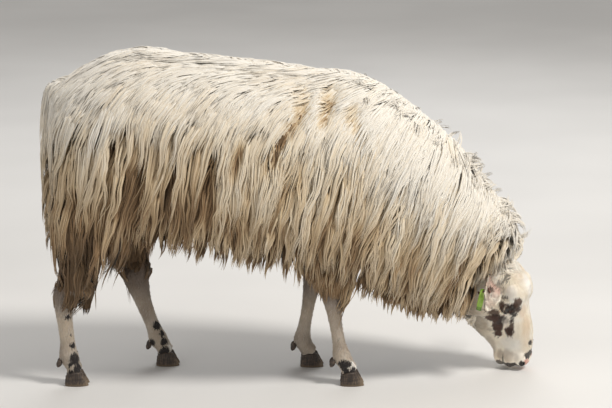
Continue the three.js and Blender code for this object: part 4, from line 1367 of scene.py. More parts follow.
length = length * (1 - 0.35 * smooth(-n_root[:, 2], 0.4, 0.9))
length = np.where(on_tail, 0.085, length)
length = np.where(on_leg, 0.045, length)
length = np.where(on_groin, 0.050, length)
layer = rng.random(L)
above = np.zeros(L, bool)  # the long locks that lie over the others, evenly spread
cells = {}
for i in rng.permutation(L).tolist():
    key = tuple(np.floor(roots[i] / 0.03).astype(int).tolist())
    near = [j for a in (-1, 0, 1) for b in (-1, 0, 1) for c in (-1, 0, 1) for j in cells.get((key[0] + a, key[1] + b, key[2] + c), ())]
    if not near or min(((roots[near] - roots[i]) ** 2).sum(1)) > 0.0265**2:
        above[i] = True
        cells.setdefault(key, []).append(i)
above &= ~on_tail & ~on_leg & ~on_groin
mane = crossing != 0
above &= ~mane
length = np.where(mane, 0.110, length)
length = length * np.where(above, 1.5 - 0.3 * collar, 1.0)
length = length * rng.uniform(0.84, 1.16, L) + depth0 * 0.8
length = np.minimum(length, STEP * (COUNT - 1))

level = rng.uniform(0.000, 0.003, L)
level = level + np.where(above, 0, rng.uniform(0.004, 0.009, L)) + np.where(layer > 0.70, rng.uniform(0.003, 0.010, L), 0)
level = level * np.where(on_tail, 0.4, 1)
sink = np.where(above, 0.0, 0.006) * (1 - on_top) * (1 - 0.6 * collar) * ~on_tail
flat_top = np.maximum(smooth(h0, 0.58, 0.76) * (1 - smooth(x0, 0.10, 0.26)), on_tail)
crest = smooth(h0, 0.78, 0.90)  # along the top, the locks lie close and hide the skin
level = level * (1 - 0.72 * np.maximum(on_top, crest)) * (1 - 0.5 * collar)
sink = sink * (1 - crest)
flat_top = np.maximum(flat_top, crest)
level = level * np.clip(depth0 / 0.045, 0.2, 1)
level = np.where(mane, rng.uniform(-0.0015, 0.0015, L), level)
tip_cut = 0.016 + 0.008 * (1 - smooth(x0, -0.05, 0.10)) - 0.018 * rng.random(L) ** 2.0 - 0.010 * np.clip(noise(roots, 0.05, 3), 0, 1)
sway = rng.normal(0, 0.085, L) * (1 - 0.4 * on_top)


def ridge(p):
    """Rounded rows of locks that run the way the coat hangs: -1 in the hollows to 1 on the crests."""
    q = p - SHIFT
    c = np.stack([(q[:, 0] - 0.30 * q[:, 2]) / 0.023, q[:, 1] / 0.20, q[:, 2] / 0.16], 1)
    return np.clip(noise(c, 1.0, 1) * 1.5, -1, 1)


# the lowest a lock may hang: to the hem along the belly, and to above the hocks at the tail
root_x = roots[:, 0] - SHIFT[0]
hem = np.interp(root_x, ROWS[order, 2] / 1000, ROWS[order, 3] / 1000)
lowest = np.where(root_x > -0.335, hem - 0.012, 0.215 + 0.010 * np.sin(70 * roots[:, 1]))
lowest = np.where((root_x > -0.42) & (root_x < 0.10) & ~on_leg & ~on_groin, lowest, 0.10)
behind = (root_x < -0.50) & (np.abs(roots[:, 1]) < np.where(root_x < -0.535, 0.125, 0.055)) & ~on_groin
lowest = np.where(behind, 0.302 + 0.012 * np.sin(40 * roots[:, 1] + 9 * roots[:, 2]), lowest)

# along the tail, the locks lie at the coat's surface
dock = (root_x < -0.53) & (np.abs(roots[:, 1] - SHIFT[1]) < 0.035) & (roots[:, 2] > 0.36)
level = np.where(dock, level * 0.35, level)

P = np.empty((L, COUNT, 3))
N = np.empty((L, COUNT, 3))
P[:, 0] = roots - n_root * 0.0025
ended = np.full(L, COUNT - 1, float)
alive = np.ones(L, bool)
d_prev = n_root.copy()
for k in range(COUNT):
    p = P[:, k]
    o = outer(p)
    n = outward(p)
    N[:, k] = n
    if k == COUNT - 1:
        break
    v = lie(p, n)
    # locks that start beside the ridge cross it before they hang down the other side
    over = mane * (1 - smooth(-crossing * (p[:, 1] - SHIFT[1]), 0.000, 0.040))
    v = v * (1 - over)[:, None] + np.stack([-0.55 + 0.75 * smooth(x0, 0.15, 0.40), -crossing * 1.0, -0.35 + 0 * x0], 1) * over[:, None]
    hang = smooth(-n[:, 2], 0.10, 0.42)
    tang = unit(v - n * (v * n).sum(1)[:, None])
    down = unit(np.stack([-0.16 + 0 * o, 0.12 * n[:, 1], -np.ones(L)], 1))
    flow = unit(tang * (1 - hang)[:, None] + down * hang[:, None])
    side = np.cross(n, flow)
    turn = sway + (0.20 * noise(p, 0.055, 0) + 0.10 * noise(p, 0.024, 3)) * (1 - 0.5 * on_top)
    flow = unit(flow + side * turn[:, None])
    relief = 0.0105 * (1 - ridge(p)) * (1 - mane) * (1 - 0.88 * flat_top) * (1 - 0.4 * collar)
    dip = level + 0.032 * parting(p) + relief + 0.0022 * (1 + noise(p, 0.03, 1)) + sink * smooth(k * STEP / length, 0.55, 1.0) * (1 - hang)
    push = np.clip((-dip - o) / 0.020, -1.1, 1.4 + 1.8 * collar)
    push = np.where(hang > 0.5, np.clip(push, -0.25, 0.35), push)
    step = unit(flow + n * push[:, None])
    step = unit(step * 0.72 + d_prev * 0.38) if k else unit(step + d_prev)
    d_prev = step
    P[:, k + 1] = p + step * STEP
    o2 = outer(P[:, k + 1])
    stop = alive & (k > 2) & ((past_wool(P[:, k + 1]) > 0) | ((o2 > tip_cut) & (hang > 0.35)) | (o2 > 0.010 + 0.012 * hang) | (P[:, k + 1, 2] < lowest) | ((hang > 0.6) & (step[:, 2] > -0.55)))
    ended[stop] = k
    alive &= ~stop
reach = np.minimum(length, ended * STEP)
reach = np.maximum(reach, np.where(past_wool(roots) > -0.03, 0.018, 0.026))


def along(A, g, s):
    """Values of A[lock, step] at distance s along the guide."""
    x = np.clip(s / STEP, 0, COUNT - 1.001)
    i = x.astype(int)
    f = (x - i)[..., None]
    return A[g, i] * (1 - f) + A[g, i + 1] * f


# ---- wisps: closed, tapering strands, several to a lock ---------------------------------------------------
def strands(centre, side, normal, wide, thick, uv_root, extra):
    """Three-sided tapering tubes round each centre line: points (W, K, 3), and per-wisp and per-ring values."""
    W, K = centre.shape[:2]
    ring = []
    for a, b in ((-0.5, -0.33), (0.5, -0.33), (0.0, 0.67)):
        ring.append(centre + side * (a * wide)[..., None] + normal * (b * thick)[..., None])
    body = np.stack(ring, 2)[:, :-1]  # W, K-1, 3, 3
    v = np.concatenate([body.reshape(W, -1, 3), centre[:, -1:]], 1)
    per = 3 * (K - 1) + 1
    one, uv1 = [], []
    for k in range(K - 2):
        for j in range(3):
            a, b = 3 * k + j, 3 * k + (j + 1) % 3
            one.append([a, b, b + 3, a + 3])
            u0, u1, v0, v1 = j / 3, (j + 1) / 3, k / (K - 1), (k + 1) / (K - 1)
            uv1.append([(u0, v0), (u1, v0), (u1, v1), (u0, v1)])
    quads_ = np.array(one)
    uvq = np.array(uv1)
    tris_, uvt = [[2, 1, 0]], [[(0.9, 0.0), (0.5, 0.02), (0.1, 0.0)]]
    for j in range(3):
        a, b = 3 * (K - 2) + j, 3 * (K - 2) + (j + 1) % 3
        tris_.append([a, b, per - 1])
        u0, u1, v0 = j / 3, (j + 1) / 3, (K - 2) / (K - 1)
        uvt.append([(u0, v0), (u1, v0), ((u0 + u1) / 2, 1.0)])
    return v, per, quads_, uvq, np.array(tris_), np.array(uvt)


def coat_piece(name, sel, data, material):
    """One mesh of the wisps numbered in sel."""
    v, per, qd, uvq, tr, uvt = data["mesh"]
    W = len(sel)
    co = v[sel].reshape(-1, 3)
    base = (np.arange(W) * per)[:, None, None]
    fq = (qd[None] + base).reshape(-1)
    ft = (tr[None] + base).reshape(-1)
    loops = np.concatenate([fq, ft]).astype(np.int32)
    nq, nt = W * len(qd), W * len(tr)
    me = bpy.data.meshes.new(name)
    me.vertices.add(len(co))
    me.vertices.foreach_set("co", np.ascontiguousarray(co, np.float32).ravel())
    me.loops.add(len(loops))
    me.loops.foreach_set("vertex_index", loops)
    me.polygons.add(nq + nt)
    start = np.concatenate([np.arange(nq) * 4, nq * 4 + np.arange(nt) * 3]).astype(np.int32)
    me.polygons.foreach_set("loop_start", start)
    me.update(calc_edges=True)
    me.polygons.foreach_set("use_smooth", np.ones(nq + nt, bool))
    root_uv = data["uv"][sel]
    for layer, size in (("OFBake", 0.003), ("lock", 1.0)):
        uv = me.uv_layers.new(name=layer)
        at = root_uv if layer == "OFBake" else np.stack([data["tone"][sel] * 37.0, data["tone"][sel] * 53.0], 1)
        scale = size if layer == "OFBake" else np.stack([np.ones(W), data["long"][sel] * 40], 1)[:, None, None]
        a = at[:, None, None] + uvq[None] * scale
        b = at[:, None, None] + uvt[None] * scale
        uv.data.foreach_set("uv", np.concatenate([a.reshape(-1), b.reshape(-1)]).astype(np.float32))
    me.uv_layers["OFBake"].active = True
    me.uv_layers["OFBake"].active_render = True
    obj = link(bpy.data.objects.new(name, me))
    for key in ("shade",) + KINDS:
        if key in data:
            attribute(obj, key, data[key][sel].reshape(-1))
    obj.data.materials.append(material)
    if "soft" in data:
        n = np.empty(len(co) * 3, np.float32)
        me.vertex_normals.foreach_get("vector", n)
        n = unit(unit(n.reshape(-1, 3)) * 0.5 + data["soft"][sel].reshape(-1, 3) * 0.62)
        me.normals_split_custom_set_from_vertices(n.tolist())
    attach(obj, "root")
    return obj


def unwrap(p):
    """A place for each point on an unwrap of the skin: the body and neck round their own axis, then head, tail and legs beside them."""
    q = p - SHIFT
    h, t = height(p)
    mid_z = np.interp(t, ROW_T, (ROWS[:, 1] + ROWS[:, 3]) / 2000)
    ang = np.arctan2(q[:, 1], q[:, 2] - mid_z) / (2 * math.pi) + 0.5
    u = 0.01 + 0.68 * t
    v = 0.01 + 0.97 * ang
    hq = to_head(p)
    on_head = (hq[:, 0] > 0.015) & (outer(p) > -0.012)
    ha = np.arctan2(hq[:, 1], hq[:, 2] + 0.08) / (2 * math.pi) + 0.5
    u = np.where(on_head, 0.71 + 0.14 * np.clip(hq[:, 0] / 0.26, 0, 1), u)
    v = np.where(on_head, 0.01 + 0.47 * ha, v)
    for i, (n, r) in enumerate(LEGS.items()):
        rows = np.array(r)
        m = (q[:, 2] < 0.27) & (np.abs(q[:, 0] - np.interp(q[:, 2] * 1000, rows[::-1, 2], rows[::-1, 0]) / 1000) < 0.085) & (q[:, 1] * rows[0, 1] > 0) & (q[:, 0] < 0.2)
        cx = np.interp(q[:, 2] * 1000, rows[::-1, 2], rows[::-1, 0]) / 1000
        cy = np.interp(q[:, 2] * 1000, rows[::-1, 2], rows[::-1, 1]) / 1000
        la = np.arctan2(q[:, 1] - cy, q[:, 0] - cx) / (2 * math.pi) + 0.5
        u = np.where(m, 0.71 + 0.13 * np.clip(q[:, 2] / 0.27, 0, 1) + 0.14 * (i // 2), u)
        v = np.where(m, 0.50 + 0.24 * la + 0.245 * (i % 2), v)
    m = q[:, 0] < -0.548
    ta = np.arctan2(q[:, 1], q[:, 0] + 0.569) / (2 * math.pi) + 0.5
    u = np.where(m, 0.86 + 0.12 * np.clip((q[:, 2] - 0.25) / 0.42, 0, 1), u)
    v = np.where(m, 0.01 + 0.4 * ta, v)
    return np.stack([u, v], 1)


def wisps(sel, per, K, thin, spread, gather, level_range, stray_share=0.10, wave_amp=1.0):
    """Wisps for the chosen locks: `per` to a lock, K points long, thin..thick wide, gathered towards the tip."""
    gid = np.repeat(sel, per)
    W = len(gid)
    fine = collar[gid]
    a = rng.uniform(-1, 1, W)
    b = rng.uniform(-1, 1, W)
    frac = rng.uniform(0.58, 1.0, W) ** 0.8
    g2 = np.repeat(gid[:, None], K, 1)
    s = (np.linspace(0, 1, K) ** 0.92)[None] * (reach[gid] * frac)[:, None]
    C = along(P, g2, s)
    NN = unit(along(N, g2, s))
    T = unit(np.gradient(C, axis=1))
    S = unit(np.cross(NN, T))
    NN = np.cross(T, S)
    u = np.linspace(0, 1, K)[None]
    close = 1 - gather * smooth(u, 0.2, 1.0)
    phase = (np.modf(roots[gid, 2] * 9 + roots[gid, 0] * 5)[0] * 6.3 + rng.normal(0, 0.6, L)[gid])[:, None]
    own = rng.normal(0, 0.45, W)[:, None]
    wave_len = (0.085 - 0.047 * fine)[:, None] * rng.uniform(0.8, 1.25, L)[gid][:, None]
    amp = (0.0036 - 0.0014 * fine)[:, None] * rng.uniform(0.4, 1.3, L)[gid][:, None] * wave_amp
    wave = amp * np.sin(2 * math.pi * s / wave_len + phase + own) * smooth(u, 0.1, 0.5)
    stray = np.where(rng.random(W) < stray_share, 1.0, 0.0)[:, None] * rng.normal(0, 0.010, W)[:, None] * u**2
    C = C + S * (a[:, None] * spread * close + wave + stray)[..., None]
    lift = b[:, None] * level_range * close + 0.3 * amp * np.sin(2 * math.pi * s / (wave_len * 0.8) + phase * 2)
    C = C + NN * lift[..., None]
    flat = C.reshape(-1, 3)
    flat = flat - NN.reshape(-1, 3) * (0.034 * fold(flat))[:, None]
    over = np.maximum(outer(flat) - 0.0025 - 0.020 * smooth(-outward(flat)[:, 2], 0.1, 0.4), 0)
    C = (flat - NN.reshape(-1, 3) * over[:, None]).reshape(W, K, 3)
    return finish_wisps(gid, C, NN, u, K, rng.uniform(*thin, W) * (1 - 0.25 * fine), np.stack([a, b], 1), reach[gid] * frac)


def finish_wisps(gid, C, NN, u, K, w, jitter, long):
    W = len(C)
    T = unit(np.gradient(C, axis=1))
    S = unit(np.cross(NN, T))
    NN = np.cross(T, S)
    twist = rng.normal(0, 0.35, W)[:, None, None]
    soft_n = NN
    S, NN = S * np.cos(twist) + NN * np.sin(twist), NN * np.cos(twist) - S * np.sin(twist)
    width = w[:, None] * (0.62 + 0.38 * np.sin(math.pi * np.clip(u * 1.15, 0, 1)) ** 0.8) * (1 - 0.9 * u**3.0)
    flat = C.reshape(-1, 3)
    hh = height(flat)[0].reshape(W, K)
    xx = C[:, :, 0] - SHIFT[0]
    deep = np.clip(-outer(flat).reshape(W, K), 0, 0.05)
    top = on_top[gid][:, None]
    hr = 0.55 * hh + 0.45 * h0[gid][:, None]
    hr = np.where(on_tail[gid][:, None], np.clip((C[:, :, 2] - 0.28) / 0.42, 0, 1), hr)
    # darker and browner towards the hem: partly the dirtier, browner lower wool and partly painted shade under the
    # belly
    shade = np.interp(hr, [-0.1, 0.08, 0.25, 0.42, 0.60, 0.75, 0.88, 1.0], [0.84, 0.68, 0.47, 0.35, 0.25, 0.15, 0.05, 0.02])
    # the lower rear quarter is darker still: painted shade
    back = 1 - smooth(xx, -0.30, -0.12)
    shade = shade + 0.12 * back * smooth(0.60 - hh, 0.0, 0.3) - 0.05 * smooth(xx, 0.05, 0.2)
    # wisps lying deeper below the coat's outside are darker: partly browner inner wool and partly painted shade between
    # the locks
    shade = shade + np.clip(deep - 0.004, 0, 0.03) * (26.0 - 6.0 * smooth(0.35 - hr, 0, 0.3)) * (1 - 0.92 * top) * (1 - 0.25 * collar[gid][:, None]) * np.where(dock[gid], 0.25, 1.0)[:, None]
    tone = rng.normal(0, 1, L)[gid][:, None] * 0.050 + rng.normal(0, 1, W)[:, None] * 0.040
    shade = shade + tone * (1 - 0.55 * top) - 0.05 * smooth(u, 0.7, 1.0)
    shade = shade + 0.07 * noise(flat, 0.12, 2).reshape(W, K) * (1 - 0.5 * top)
    shade = shade + np.where((on_leg | on_groin)[gid], 0.06, 0.0)[:, None]
    # painted shade in the shoulder folds, darkening the wool towards brown at their middle
    crease = fold(flat + NN.reshape(-1, 3) * deep.reshape(-1, 1)).reshape(W, K)
    shade = np.clip(shade + 1.0 * crease**1.6, 0, 1)
    shade_v = np.concatenate([np.repeat(shade[:, :-1], 3, 1), shade[:, -1:]], 1)
    return {
        "mesh": strands(C, S, NN, width, width * 0.42, None, None),
        "uv": root_uv[gid] + jitter * 0.004,
        "tone": rng.random(W),
        "long": long,
        "shade": shade_v,
        "soft": np.concatenate([np.repeat(unit(soft_n)[:, :-1], 3, 1), unit(soft_n)[:, -1:]], 1),
        "where": C[:, K // 2, 0],
        "tris": 6 * (K - 2) + 4,
    }


root_uv = unwrap(roots)
small = on_leg | on_groin | on_tail
ids = np.arange(L)
small |= mane
back_like = rng.random(L) < on_top
groups = [
    ("wool_back", wisps(ids[~small & back_like], 20, 6, (0.0044, 0.0063), 0.0165, 0.10, 0.0020, 0.10, 0.5)),
    ("wool_side", wisps(ids[~small & ~back_like & (collar < 0.5) & ~above], 10, 7, (0.0038, 0.0059), 0.0150, 0.45, 0.0042)),
    ("wool_long", wisps(ids[~small & ~back_like & (collar < 0.5) & above], 16, 9, (0.0030, 0.0048), 0.0118, 0.84, 0.0050)),
    ("wool_collar", wisps(ids[~small & ~back_like & (collar >= 0.5)], 15, 7, (0.0040, 0.0056), 0.0125, 0.50, 0.0045, 0.22, 1.2)),
    ("wool_leg", wisps(ids[small & ~mane], 13, 6, (0.0034, 0.0048), 0.0100, 0.55, 0.0040, 0.1)),
    ("wool_mane", wisps(ids[mane], 11, 8, (0.0042, 0.0062), 0.0150, 0.25, 0.0024, 0.10, 0.7)),
]


def fluff(weight, clumps, per, lean, spread, tall, reach, wide):
    """Loose pointed wisps, in clumps, that stand off the coat where the weight is."""
    K = 8
    pick = np.repeat(rng.choice(len(weight), size=clumps, p=weight * face_area / (weight * face_area).sum()), per)
    count = clumps * per
    each = lambda f: np.repeat(f, per, 0)
    n = outward(face_mid[pick])
    lean = each(np.asarray(lean, float) + rng.normal(0, 1, (clumps, 3)) * spread)
    bend = unit(lean - n * (lean * n).sum(1)[:, None])
    side = np.cross(n, bend)
    a, b = rng.uniform(-1, 1, (2, count, 1))
    base = face_mid[pick] - n * (outer(face_mid[pick]) + 0.008)[:, None]
    tall = each(rng.uniform(*tall, clumps)) * rng.uniform(0.7, 1.1, count)
    far = each(rng.uniform(*reach, clumps)) * rng.uniform(0.7, 1.1, count)
    curl = each(rng.uniform(-1, 1, clumps))[:, None]
    C = np.empty((count, K, 3))
    for k in range(K):
        t = k / (K - 1)
        C[:, k] = base + (side * a + bend * b) * 0.009 * (1 - 0.75 * t)
        C[:, k] += n * (0.008 * min(1, 3 * t) + tall * math.sin(t * 1.9))[:, None] + bend * (far * t**1.15)[:, None]
        C[:, k] += side * curl * 0.005 * math.sin(2.6 * t)
    u = np.linspace(0, 1, K)[None]
    near = np.array([np.argmin(((roots - x) ** 2).sum(1)) for x in face_mid[pick[::per]]])
    data = finish_wisps(each(near), C, np.repeat(n[:, None], K, 1), u, K, rng.uniform(*wide, count), rng.uniform(-1, 1, (count, 2)), np.full(count, 0.07))
    data["shade"] = np.clip(data["shade"] - 0.05, 0.02, 0.20)
    up = unit(n * 0.5 + np.array([0.25, -0.3, 0.8]))
    data["soft"] = np.repeat(up[:, None], data["soft"].shape[1], 1)
    return data


def join(*parts):
    out = {}
    for key in parts[0]:
        if key == "mesh":
            out[key] = (np.concatenate([p[key][0] for p in parts]),) + parts[0][key][1:]
        elif key == "tris":
            out[key] = parts[0][key]
        else:
            out[key] = np.concatenate([p[key] for p in parts])
    return out


mid_line = np.exp(-(((face_mid[:, 1] - SHIFT[1]) / 0.05) ** 2))
nape = (x_face > 0.10) & (face_normal[:, 2] > 0.35) & (face_out < -0.02)
crown = (x_face > 0.42) & (face_normal[:, 2] + face_normal[:, 0] > 0.5) & (face_out < -0.012)
groups.append((
    "wool_fluff",
    join(
        fluff(nape * (0.10 + smooth(x_face, 0.2, 0.36)) * (mid_line + 0.03), 34, 8, (0.5, -0.05, 0.35), 0.14, (0.010, 0.026), (0.026, 0.046), (0.0013, 0.0022)),
        fluff(nape * (x_face < 0.3) * (mid_line + 0.02), 16, 7, (0.2, 0, 0.2), 0.30, (0.004, 0.012), (0.020, 0.034), (0.0013, 0.0022)),
        fluff(crown * (mid_line + 0.25), 30, 9, (0.35, 0, -0.55), 0.18, (0.006, 0.016), (0.026, 0.042), (0.0014, 0.0024)),
    ),
))


# ---- skin: marks and material --------------------------------------------------------------------------------
head_turn = Matrix([list(r) for r in HM]).to_euler("XYZ")
marks = markings(verts, skin_normal)
q_head = to_head(verts) * 1000
headness = np.maximum(smooth(q_head[:, 0], -6, 12), smooth(past_wool(verts), -0.006, 0.004)) * (np.abs(q_head[:, 1]) < 165) * (verts[:, 0] - SHIFT[0] > 0.35)
bare = 1 - smooth(np.linalg.norm((q_head - [252, 0, -28]) / [13, 22, 17], axis=1), 0.8, 1.1)
eye_c = q_head.copy()
eye_c[:, 1] = np.abs(eye_c[:, 1])
eye_c = eye_c - [98, 48.5, -40]
lid_rim = (np.linalg.norm(eye_c, axis=1) < 21) * (1 - smooth(np.sqrt((eye_c @ LID_ALONG / 15) ** 2 + ((eye_c @ LID_UP + 3.6) / 3.8) ** 2), 0.8, 1.15))
bare = np.maximum(bare, lid_rim * (eye_c @ LID_AXIS > 6))
for key in KINDS:
    attribute(skin, key, marks[key])
attribute(skin, "headness", headness)
attribute(skin, "bare", bare)
skin.data.materials.append(skin_material())

# ---- short hair: flat tufts over the head, ears and legs -----------------------------------------------------
face_marks = {k: marks[k][quads].mean(1) for k in KINDS}
hf = to_head(face_mid) * 1000
nf = face_normal
bare_f = bare[quads].mean(1)
is_head = (headness[quads].mean(1) > 0.5) & ((face_out > -0.012) | (face_past > -0.010))
is_leg = (face_mid[:, 2] < 0.30) & (x_face < 0.2) & (face_out > -0.012) & ~is_head
ear_near = np.minimum(ear_fields["right"](face_mid), ear_fields["left"](face_mid))
is_ear = (np.abs(ear_near) < 0.002) & is_head & (np.abs(hf[:, 1]) > 46)


def flow_of(p, n, ear, leg):
    """The way short hair lies: from the forehead out to the muzzle, ears and cheeks, along the ears, down the legs."""
    q = to_head(p)
    v = np.stack([0.55 + 0 * q[:, 0], 0.25 * np.sign(q[:, 1]) * smooth(np.abs(q[:, 1]), 0.0, 0.03), -0.25 - 0.75 * smooth(-q[:, 2], 0.04, 0.12)], 1)
    crown = 1 - smooth(q[:, 0], 0.02, 0.07)
    v[:, 0] = v[:, 0] - 0.75 * crown * (1 - smooth(np.abs(q[:, 1]), 0.03, 0.05))
    cheek = smooth(-q[:, 2], 0.07, 0.12) * (1 - smooth(q[:, 0], 0.16, 0.20))
    v[:, 0] = v[:, 0] - 0.75 * cheek
    v[:, 2] = v[:, 2] + 0.35 * smooth(q[:, 0], 0.12, 0.2)
    v = v + 0.35 * np.stack([noise(p, 0.03, 0), noise(p, 0.03, 1), noise(p, 0.03, 2)], 1)
    v = v @ HM.T
    for name, e in EARS.items():
        x, y, z = ear_axes(e)
        w = (p - ear_root(e)) @ y
        m = ear & ((p - ear_root(e)) @ x > -0.01) & (np.abs(ear_fields[name](p)) < 0.004)
        v[m] = x + y * (np.sign(w) * 0.35)[m, None]
    v[leg] = np.array([-0.12, 0, -1.0]) + 0.25 * np.stack([noise(p, 0.03, 0), noise(p, 0.03, 1), 0 * p[:, 0]], 1)[leg]
    return unit(v - n * (v * n).sum(1)[:, None])


def tufts(weight, count, gap, K, length, width, lift, per=1, way=None):
    """Short tapering tufts at about even gaps; length, width and lift are values at each face."""
    p, f = scatter(weight, count, gap)
    p, f = np.repeat(p, per, 0), np.repeat(f, per)
    W = len(p)
    n = face_normal[f]
    flow = way(p, n) if way else flow_of(p, n, is_ear[f], is_leg[f])
    side = np.cross(n, flow)
    turn = rng.normal(0, 0.22, W)[:, None]
    flow = unit(flow + side * turn)
    side = np.cross(n, flow)
    long = length[f] * rng.uniform(0.75, 1.25, W)
    up = lift[f] * rng.uniform(0.4, 1.6, W)
    if per > 1:
        p = p + side * rng.uniform(-1, 1, (W, 1)) * 0.002
    C = np.empty((W, K, 3))
    curl = rng.normal(0, 0.16, W)[:, None]
    for k in range(K):
        t = k / (K - 1)
        C[:, k] = p - n * 0.0008 + flow * (long * t)[:, None] + side * curl * (long * t * t)[:, None]
        C[:, k] += n * (up * math.sin(t * 2.3))[:, None]
        # follow the surface where it curves away
        at = C[:, k]
        d = skin_distance(at)
        want = 0.0003 + up * math.sin(t * 2.3) if k else -0.0008 + 0 * up
        g = unit(gradient(skin_distance, at, 0.0012)) if k else n
        C[:, k] = at - g * np.clip(d - want, -0.003, 0.006)[:, None]
    w = width[f] * rng.uniform(0.8, 1.25, W)
    u = np.linspace(0, 1, K)[None]
    wide = w[:, None] * (1 - 0.75 * u**1.6)
    T = unit(np.gradient(C, axis=1))
    NN = np.repeat(n[:, None], K, 1)
    S = unit(np.cross(NN, T))
    NN = np.cross(T, S)
    data = {
        "mesh": strands(C, S, NN, wide, wide * 0.4, None, None),
        "uv": unwrap(p),
        "tone": rng.random(W),
        "long": long,
        "soft": np.repeat(n[:, None], 3 * (K - 1) + 1, 1),
        "where": C[:, 0, 0],
        "tris": 6 * (K - 2) + 4,
    }
    kinds = markings(p, n)
    for key in KINDS:
        data[key] = np.repeat(kinds[key][:, None], 3 * (K - 1) + 1, 1)
    return data


mm = 0.001
muzzle = smooth(hf[:, 0], 190, 225)
round_eye = np.exp(-((np.linalg.norm((hf - [98, 0, -40]) * [1, 0, 1], axis=1) / 24) ** 2))
jaw = smooth(-hf[:, 2], 90, 130) * (1 - muzzle)
poll = 1 - smooth(hf[:, 0], 15, 55)
ear_k = is_ear.astype(float)
long_f = (8.0 - 4.2 * muzzle - 3.6 * round_eye * (1 - muzzle) + 4.5 * jaw + 7.0 * poll * (1 - ear_k)) * (1 - ear_k) + 7.0 * ear_k
long_f = np.where(is_leg, 7.5 + 15.0 * smooth(face_mid[:, 2], 0.15, 0.25), long_f)
wide_f = np.where(is_leg, 1.9, 1.75 - 0.7 * muzzle - 0.7 * round_eye) + 0.5 * jaw + 0.5 * poll
gap_f = np.where(is_leg, 3.1, 3.1 - 0.7 * muzzle - 0.9 * round_eye * (1 - muzzle))
gap_f = gap_f * np.where(is_ear, 0.85, 1.0)
lift_f = np.where(is_leg, 0.8 + 1.6 * smooth(face_mid[:, 2], 0.17, 0.25), 0.7 + 0.5 * jaw + 0.8 * poll) * (1 - 0.5 * muzzle) * (1 - 0.5 * round_eye)
cover = (is_head | is_leg) * (1 - smooth(bare_f, 0.05, 0.4)) * (face_mid[:, 2] > 0.030)
inner_f = ear_inside(face_mid, face_normal)[0]
cover = cover * (1 - 0.8 * (inner_f > 0.35))
head_tufts = tufts(cover * is_head, 60000, gap_f * mm, 3, long_f * mm, wide_f * mm, lift_f * mm)
leg_tufts = tufts(cover * is_leg, 36000, gap_f * mm, 3, long_f * mm, wide_f * mm, lift_f * mm)


def poll_flow(p, n):
    q = to_head(p)
    v = np.stack([0.9 + 0 * q[:, 0], 0.5 * np.clip(q[:, 1] / 0.03, -1, 1), -0.1 - 0.6 * smooth(np.abs(q[:, 1]), 0.02, 0.05)], 1)
    v = (v + 0.25 * np.stack([noise(p, 0.02, 0), noise(p, 0.02, 1), noise(p, 0.02, 2)], 1)) @ HM.T
    return unit(v - n * (v * n).sum(1)[:, None])


poll_w = (1 - smooth(face_past, -0.022, -0.008)) * (hf[:, 0] > -88) * (1 - smooth(np.abs(hf[:, 1]), 38, 54)) * smooth(nf @ HM[:, 2], -0.1, 0.3) * (x_face > 0.36)
poll_w = np.maximum(poll_w, (1 - woolly) * (x_face > 0.40) * (face_past < -0.006) * (np.abs(hf[:, 1]) < 75) * (hf[:, 2] > -110) * (hf[:, 0] < 40) * (hf[:, 0] > -88))
one = np.ones(len(face_mid))
topknot = tufts(poll_w, 30000, one * 0.0055, 7, one * 0.026 - 0.008 * smooth(face_past, -0.04, -0.01), one * 0.0046, 0.0075 - 0.003 * smooth(face_past, -0.045, -0.015), per=4, way=poll_flow)
topknot["shade"] = np.clip(0.08 + 0.06 * rng.normal(0, 1, (len(topknot["tone"]), 1)) + 0.10 * (1 - np.linspace(0, 1, topknot["soft"].shape[1]))[None], 0, 1)
for key in KINDS:
    topknot.pop(key)
groups += [("wool_poll", topknot), ("hair_head", head_tufts), ("hair_legs", leg_tufts)]

# ---- eyes: a wet ball with a level pupil behind each pair of lids -----------------------------------------------


def globe(segments, rings):
    """A ball of radius 1 as rings about +Z."""
    t = np.linspace(0, math.pi, rings + 1)[:, None]
    a = (np.arange(segments) / segments * 2 * math.pi)[None]
    return closed(np.stack([np.sin(t) * np.cos(a), np.sin(t) * np.sin(a), np.cos(t) + 0 * a], -1))


eye_mat = eye_material()
for which, side in (("right", -1), ("left", 1)):
    v, f = globe(64, 48)
    flip = np.array([1, side, 1])
    z = LID_AXIS * flip
    z = unit(z + LID_UP * flip * -0.22)
    x = LID_ALONG * flip
    x = unit(x - z * (x @ z))
    y = np.cross(z, x)
    out = np.clip((v[:, 2] - 0.70) / 0.25, 0, 1)
    bulge = 1 + 0.05 * out * (2 - out) * 0.6
    pts = (v * bulge[:, None] * 0.0139) @ np.stack([x, y, z])
    pts = from_head(pts + np.array([98, side * 48.5, -40]) / 1000)
    ball = mesh_object("eyeball_" + which, pts, f)
    r = np.arccos(np.clip(v[:, 2], -1, 1))
    attribute(ball, "iris", 1 - smooth(r, 0.62, 0.68))
    attribute(ball, "limbus", np.exp(-(((r - 0.64) / 0.05) ** 2)))
    attribute(ball, "pupil", 1 - smooth(np.sqrt((v[:, 0] / 0.34) ** 2 + (v[:, 1] / 0.15) ** 2), 0.85, 1.1))
    ball.data.materials.append(eye_mat)
    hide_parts("eye_" + which)
    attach(ball, "root")

# ---- claws and dewclaws ------------------------------------------------------------------------------------------
horn = horn_material()


